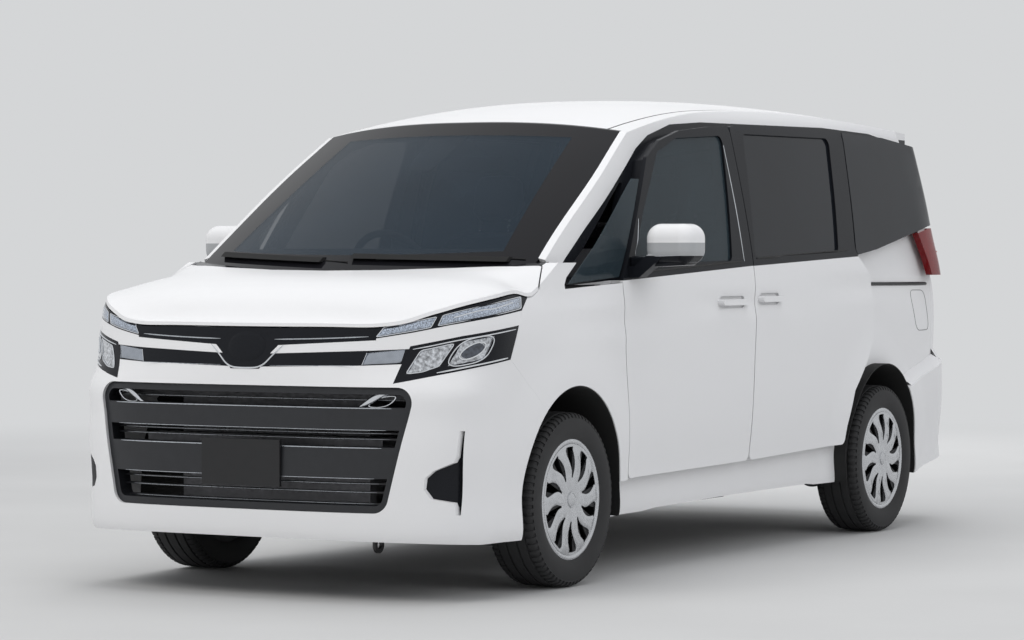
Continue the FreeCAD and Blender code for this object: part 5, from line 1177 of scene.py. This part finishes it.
def addTailDetail():
    red = lampLight("tailRed", (0.55, 0.02, 0.02, 1), 160)
    chrome = metal("tailChrome", (0.70, 0.71, 0.73, 1), 0.18)
    moulded = mouldedPlastic("rearPlastic", (0.016, 0.016, 0.017, 1), 0.5)
    tree = treeOf("tail_lamps")
    inner, length, height = tail["lampLine"]
    back, sweep = tail["lampSweep"]
    for tag, side in (("left", 1), ("right", -1)):
        places = [(side * (inner + length * t / 8), back - sweep * (t / 8) ** 2, height) for t in range(9)]
        points = [onSkin(tree, p, (-0.55 * side, -0.83, 0), 0.0012) for p in places]
        line("tailLampLine_" + tag, points, 0.0050, "body", red, ends=0.5)
    tree = treeOf("tailgate")
    half, height, radius = tail["grip"]
    points = [onSkin(tree, (half * (t / 5 - 1), 2.5, height), astern, 0.004) for t in range(11)]
    line("tailgateGrip", points, radius, "tailgate", chrome, ends=0.6)
    tree = treeOf("tailgate_glass", "tailgate")
    length, height, rise = tail["wiper"]
    points = [onSkin(tree, (length * t / 6, 2.5, height + rise * t / 6), astern, 0.005) for t in range(7)]
    line("rearWiper", points, tail["wiperRadius"], "tailgate", moulded, ends=0.5)
    foot, top, depth = tail["hub"]
    mesh = bmesh.new()
    bmesh.ops.create_cone(mesh, cap_ends=True, segments=24, radius1=foot, radius2=top, depth=depth)
    bevelled(mesh, mesh.edges[:], 0.003, 2)
    bmesh.ops.rotate(mesh, cent=(0, 0, 0), matrix=Matrix.Rotation(-math.pi / 2, 3, "X"), verts=mesh.verts)
    bmesh.ops.translate(mesh, vec=onSkin(tree, (0, 2.5, height), astern), verts=mesh.verts)
    placed(finished("rearWiperHub", mesh), "tailgate", moulded)
    print("rear details added")


mirrorFoot = {
    "low": (0.8360, -0.9760, 1.1600),
    "high": (1.0700, -0.8780, 1.2060),
    "taper": (0.95, 1.18, 0.012, 0.006),      # beyond this x and below this z, shift up; shift back
    "corner": 0.011,
    "line": [(0.8400, -0.9790, 1.2020), (0.9300, -0.9985, 1.2050), (1.0600, -0.9960, 1.2085)],
}


def addMirrorFeet():
    black = glossBlack("mirrorFootBlack")
    satin = metal("mirrorFootLine", (0.70, 0.72, 0.75, 1), 0.22)
    low, high = Vector(mirrorFoot["low"]), Vector(mirrorFoot["high"])
    beyond, below, raised, shifted = mirrorFoot["taper"]
    for tag, side in (("left", 1), ("right", -1)):
        mesh = bmesh.new()
        bmesh.ops.create_cube(mesh, size=1)
        bmesh.ops.scale(mesh, vec=high - low, verts=mesh.verts)
        bmesh.ops.translate(mesh, vec=(low + high) / 2, verts=mesh.verts)
        for vert in mesh.verts:
            if vert.co.x > beyond:
                vert.co.z += raised if vert.co.z < below else 0.0
                vert.co.y += shifted
        bevelled(mesh, mesh.edges[:], mirrorFoot["corner"], 4)
        bmesh.ops.scale(mesh, vec=(side, 1, 1), verts=mesh.verts)
        if side < 0:
            bmesh.ops.reverse_faces(mesh, faces=mesh.faces)
        door = "front_door_" + tag
        placed(finished("mirrorFoot_" + tag, mesh), door, black)
        line("mirrorFootLine_" + tag, sided(mirrorFoot["line"], side), 0.0018, door, satin, ends=0.5)
    print("mirror feet added")


rear = {
    "rail": [(1.3000, 1.0830), (2.0450, 1.0790)],      # (y, z) ends of the sliding door's rail
    "railRadius": 0.0085,
    "lid": [(1.8450, 1.0520), (2.0150, 1.0500), (2.0800, 0.8700), (1.9300, 0.8680)],
    "lidShares": (0.12, 0.37, 0.63, 0.88),
    "seam": [(1.7200, 0.6300), (1.8600, 0.6620), (2.0100, 0.6970), (2.1350, 0.7250)],
    "seamReach": (0.006, 0.032),           # how far the strip laps below and above the seam
    "seamCells": (24, 5),
    "seamSwell": 0.006,
    "sheet": 0.0015,
}


def sheeted(mesh):      # gives an open sheet its thickness
    bmesh.ops.recalc_face_normals(mesh, faces=mesh.faces)
    bmesh.ops.solidify(mesh, geom=mesh.faces[:], thickness=rear["sheet"])
    bmesh.ops.recalc_face_normals(mesh, faces=mesh.faces)
    return mesh


def addRearSides():
    black = glossBlack("railBlack")
    shade = mouldedPlastic("seamShade", (0.16, 0.16, 0.165, 1), 0.6)
    white = pearlPaint("seamPaint")
    bumper = treeOf("rear_bumper")
    for tag, side in (("left", 1), ("right", -1)):
        toward = outward(side)
        tree = treeOf("body_side_" + tag)
        start, end = (Vector((side * 0.80, *place)) for place in rear["rail"])
        points = [onSkin(tree, start.lerp(end, t / 10), toward, 0.0, 0.2) for t in range(11)]
        line("slideRail_" + tag, points, rear["railRadius"], "body", black, ends=0.9)
        if side > 0:
            lid = looped(rear["lid"], rear["lidShares"])
            points = [onSkin(tree, (side * 0.80, y, z), toward, 0.0004, 0.2) for y, z in lid]
            line("fuelLidSeam", points, 0.0013, "body", shade, closed=True)
        knots = rear["seam"]
        below, above = rear["seamReach"]
        columns, rows = rear["seamCells"]
        mesh = bmesh.new()
        bmesh.ops.create_grid(mesh, x_segments=columns, y_segments=rows, size=0.5)
        for vert in mesh.verts:
            along, over = vert.co.x + 0.5, vert.co.y + 0.5
            y = knots[0][0] + (knots[-1][0] - knots[0][0]) * along
            z = onLine(knots, y)
            outer = onSkin(bumper, (side * 0.83, y, z - below), toward, 0.0006, 0.1)
            inner = onSkin(tree, (side * 0.80, y, z + above), toward, 0.0006, 0.1)
            vert.co = outer.lerp(inner, over)
            vert.co.x += side * rear["seamSwell"] * math.sin(math.pi * over)
        placed(finished("bumperSeam_" + tag, sheeted(mesh)), "body", white)
    print("rear sides added")


corner = {
    "gate": [(0.7350, 0.6500), (0.7600, 0.6560), (1.0500, 0.6810), (1.1220, 0.6780)],      # its edge (z, x)
    "gap": 0.007,
    "sideEnd": 2.1500,
    "cells": (10, 8),
}


def addRearCorners():
    white = pearlPaint("cornerPaint")
    gate = treeOf("tailgate")
    knots = corner["gate"]
    columns, rows = corner["cells"]
    for tag, side in (("left", 1), ("right", -1)):
        tree = treeOf("body_side_" + tag)
        mesh = bmesh.new()
        bmesh.ops.create_grid(mesh, x_segments=columns, y_segments=rows, size=0.5)
        for vert in mesh.verts:
            share, rise = vert.co.x + 0.5, vert.co.y + 0.5
            z = knots[0][0] + (knots[-1][0] - knots[0][0]) * rise
            edge = onLine(knots, z)
            start = onSkin(tree, (side * 0.80, corner["sideEnd"], z), outward(side), 0.0008, 0.1)
            end = onSkin(gate, (side * (edge - 0.020), 2.25, z), astern, 0.0, 0.2)
            end.x = side * (edge + corner["gap"])
            end.y -= 0.004
            turn = Vector((start.x, end.y - 0.012, z))
            vert.co = start.lerp(turn, share).lerp(turn.lerp(end, share), share)
        placed(finished("rearCorner_" + tag, sheeted(mesh)), "body", white)
    print("rear corners added")


# Seats: padded cushions with seams, on the places of the plain ones

seats = {
    "front_seats": {"front": -0.5900, "bottom": 0.6200, "offset": 0.3700, "floor": 0.3300},
    "second_row_seats": {"front": 0.4500, "bottom": 0.6200, "offset": 0.3700, "floor": 0.3300},
    "third_row_seats": {"front": 1.2700, "bottom": 0.6600, "offset": 0.2800, "floor": 0.5300},
}
pad = {
    "cushion": (0.4900, 0.4700, 0.1000),       # width, length, thickness
    "back": (0.4900, 0.6000, 0.0800),
    "headRest": (0.2200, 0.1900, 0.0750),
    "bolsters": (0.022, 0.030, 0.0),           # of cushion, back and head rest
    "hollows": (0.010, 0.012, 0.0),
    "deep": 0.1200,        # room for the cushion
    "long": 0.5000,
    "tall": 0.6200,        # room for the backrest
    "wall": 0.1100,
    "lean": 14.0,          # degrees, backrest from upright
    "head": (0.2300, 0.2000),
    "headGap": 0.0250,
    "base": (0.36, 0.44, 0.03),                # length across and along, corner
    "seam": 0.0022,
    "voxel": 0.0090,
    "pressure": 4.0,
    "cap": 0.0120,         # how far the cloth may swell
    "frames": 14,
}


def padShape(wide, long, thick, bolster, hollow):
    mesh = bmesh.new()
    bmesh.ops.create_cube(mesh, size=1)
    bmesh.ops.subdivide_edges(mesh, edges=mesh.edges, cuts=9, use_grid_fill=True)
    for vert in mesh.verts:
        x, y, z = (2 * c for c in vert.co)
        pull = 1 - 0.05 * (x * x + y * y) * abs(z)
        wing = bolster * max(0, abs(x) - 0.62) / 0.38
        dip = -hollow * (1 - x * x) if z > 0 else 0
        pinch = 1 - 0.10 * (abs(z) ** 4)
        blunt = 1 - 0.16 * (abs(x) ** 6) * (abs(y) ** 6)
        size = pinch * blunt * pull
        vert.co = (x * wide / 2 * size, y * long / 2 * size, z * thick / 2 + (wing + dip) * (z > 0))
    return mesh


def applied(piece):      # makes the modifiers' result the mesh
    graph = bpy.context.evaluated_depsgraph_get()
    mesh = bpy.data.meshes.new_from_object(piece.evaluated_get(graph))
    old = piece.data
    piece.modifiers.clear()
    piece.data = mesh
    bpy.data.meshes.remove(old)


def swollen(piece):      # fills the pad like a stuffed cover
    remesh = piece.modifiers.new("remesh", "REMESH")
    remesh.mode = "VOXEL"
    remesh.voxel_size = pad["voxel"]
    applied(piece)
    start = [vert.co.copy() for vert in piece.data.vertices]
    cloth = piece.modifiers.new("cloth", "CLOTH")
    cloth.settings.use_pressure = True
    cloth.settings.uniform_pressure_force = pad["pressure"]
    cloth.settings.effector_weights.gravity = 0
    cloth.settings.quality = 4
    cloth.point_cache.frame_start = 1
    cloth.point_cache.frame_end = pad["frames"]
    for number in range(1, pad["frames"] + 1):
        scene.frame_set(number)
    applied(piece)
    scene.frame_set(1)
    for vert, place in zip(piece.data.vertices, start):
        moved = vert.co - place
        if moved.length > pad["cap"]:
            vert.co = place + moved * (pad["cap"] / moved.length)


def softened(piece):
    soft = piece.modifiers.new("soft", "SUBSURF")
    soft.levels = 1
    soft.render_levels = 1
    return piece


def addPad(names, shifts, shape, turn, place, made):
    piece = finished(names[0], shape)
    swollen(piece)
    piece.data.transform(Matrix.Translation(place) @ Matrix.Rotation(turn, 4, "X"))
    piece.data.shade_smooth()
    pads = [softened(piece)]
    for name, shift in zip(names[1:], shifts[1:]):
        twin = bpy.data.objects.new(name, piece.data.copy())
        scene.collection.objects.link(twin)
        twin.data.transform(Matrix.Translation(shift))
        pads.append(softened(twin))
    for one in pads:
        one.data.materials.append(made)
        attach(one, "body")
    return pads


def seatCloth():
    color = (0.055, 0.055, 0.060, 1)
    made = material("seatWeave", color, roughness=0.92, sheen=0.35)
    mottle(made, color, scale=18, spread=0.12)
    bumpy(made, grain(made, 1400, detail=2.0), 0.5, 0.0008)
    return made


def seatPlaces():      # row, side and shift from the front left seat
    first = seats["front_seats"]
    places = []
    for row, seat in seats.items():
        for tag, side in (("left", 1), ("right", -1)):
            shift = Vector((side * seat["offset"] - first["offset"], seat["front"] - first["front"],
                            seat["bottom"] - first["bottom"]))
            places.append((row, tag, shift))
    return places


def addSeats():
    cloth = seatCloth()
    piping = mouldedPlastic("seatPiping", (0.10, 0.10, 0.105, 1), 0.7)
    steel = metal("postSteel", (0.60, 0.61, 0.62, 1), 0.25)
    shell = mouldedPlastic("seatBase", (0.03, 0.03, 0.032, 1), 0.6)
    lean = math.radians(pad["lean"])
    first = seats["front_seats"]
    wide, long, thick = pad["cushion"]
    headWide, headTall = pad["head"]
    middle = Vector((first["offset"], first["front"] + pad["long"] / 2, first["bottom"] + pad["deep"] / 2))
    heel = Vector((first["offset"], first["front"] + pad["long"], first["bottom"] + pad["deep"]))
    up = Vector((0, math.sin(lean), math.cos(lean)))
    back = Vector((0, math.cos(lean), -math.sin(lean)))
    backMiddle = heel + up * (pad["tall"] / 2) + back * (pad["wall"] / 2)
    headMiddle = heel + up * (pad["tall"] + pad["headGap"] + headTall / 2) + back * (pad["wall"] / 2)
    places = seatPlaces()
    shifts = [shift for row, tag, shift in places]
    upright = math.pi / 2 - lean
    kinds = (("cushion", pad["cushion"], 0.0, middle), ("back", pad["back"], upright, backMiddle),
             ("head", pad["headRest"], upright, headMiddle))
    made = []
    for (kind, size, turn, place), bolster, hollow in zip(kinds, pad["bolsters"], pad["hollows"]):
        names = ["%s_%s_%s" % (row, kind, tag) for row, tag, shift in places]
        made += addPad(names, shifts, padShape(*size, bolster, hollow), turn, place, cloth)
    for row, tag, shift in places:
        for number, side in enumerate((-1, 1)):
            foot = headMiddle + shift + Vector((side * headWide * 0.30, 0, 0)) - up * (headTall / 2 + 0.045)
            line("headPost_%s_%s_%d" % (row, tag, number), [foot, foot + up * 0.04, foot + up * 0.08], 0.006,
                 "body", steel, order=2)
        across, along, bend = pad["base"]
        seat = seats[row]
        tall = seat["bottom"] - seat["floor"] - 0.002
        base = (middle.x + shift.x, middle.y + shift.y, seat["floor"] + tall / 2 + 0.001)
        mesh = bmesh.new()
        bmesh.ops.create_cube(mesh, size=1)
        bmesh.ops.scale(mesh, vec=(across, along, tall), verts=mesh.verts)
        bevelled(mesh, mesh.edges[:], bend, 3)
        bmesh.ops.translate(mesh, vec=base, verts=mesh.verts)
        placed(finished("seatBase_%s_%s" % (row, tag), mesh), "body", shell)
        for number, side in enumerate((-1, 1)):
            aside = Vector((side * wide * 0.31, 0, 0))
            start = middle + shift + aside + Vector((0, -long * 0.46, thick * 0.50 - 0.002))
            points = [start + Vector((0, long * 0.9 * t / 8, 0.004 * math.sin(math.pi * t / 8)))
                      for t in range(9)]
            line("cushionSeam_%s_%s_%d" % (row, tag, number), points, pad["seam"], "body", piping)
            start = backMiddle + shift + aside - up * pad["tall"] * 0.44 - back * (pad["wall"] / 2 - 0.012)
            points = [start + up * (pad["tall"] * 0.86 * t / 8) for t in range(9)]
            line("backSeam_%s_%s_%d" % (row, tag, number), points, pad["seam"], "body", piping)
    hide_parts("front_seats")
    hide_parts("second_row_seats")
    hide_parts("third_row_seats")
    print("seats added")


addCamera()
addLights()
addWorld()
addFloor()
dressNodes()
addWheels()
addLamps()
addNose()
addGrilleTrim()
addPlate()
addScreenItems()
addSideTrim()
addMirrorFeet()
addTailDetail()
addRearSides()
addRearCorners()
addSeats()

scene.view_settings.view_transform = "Standard"
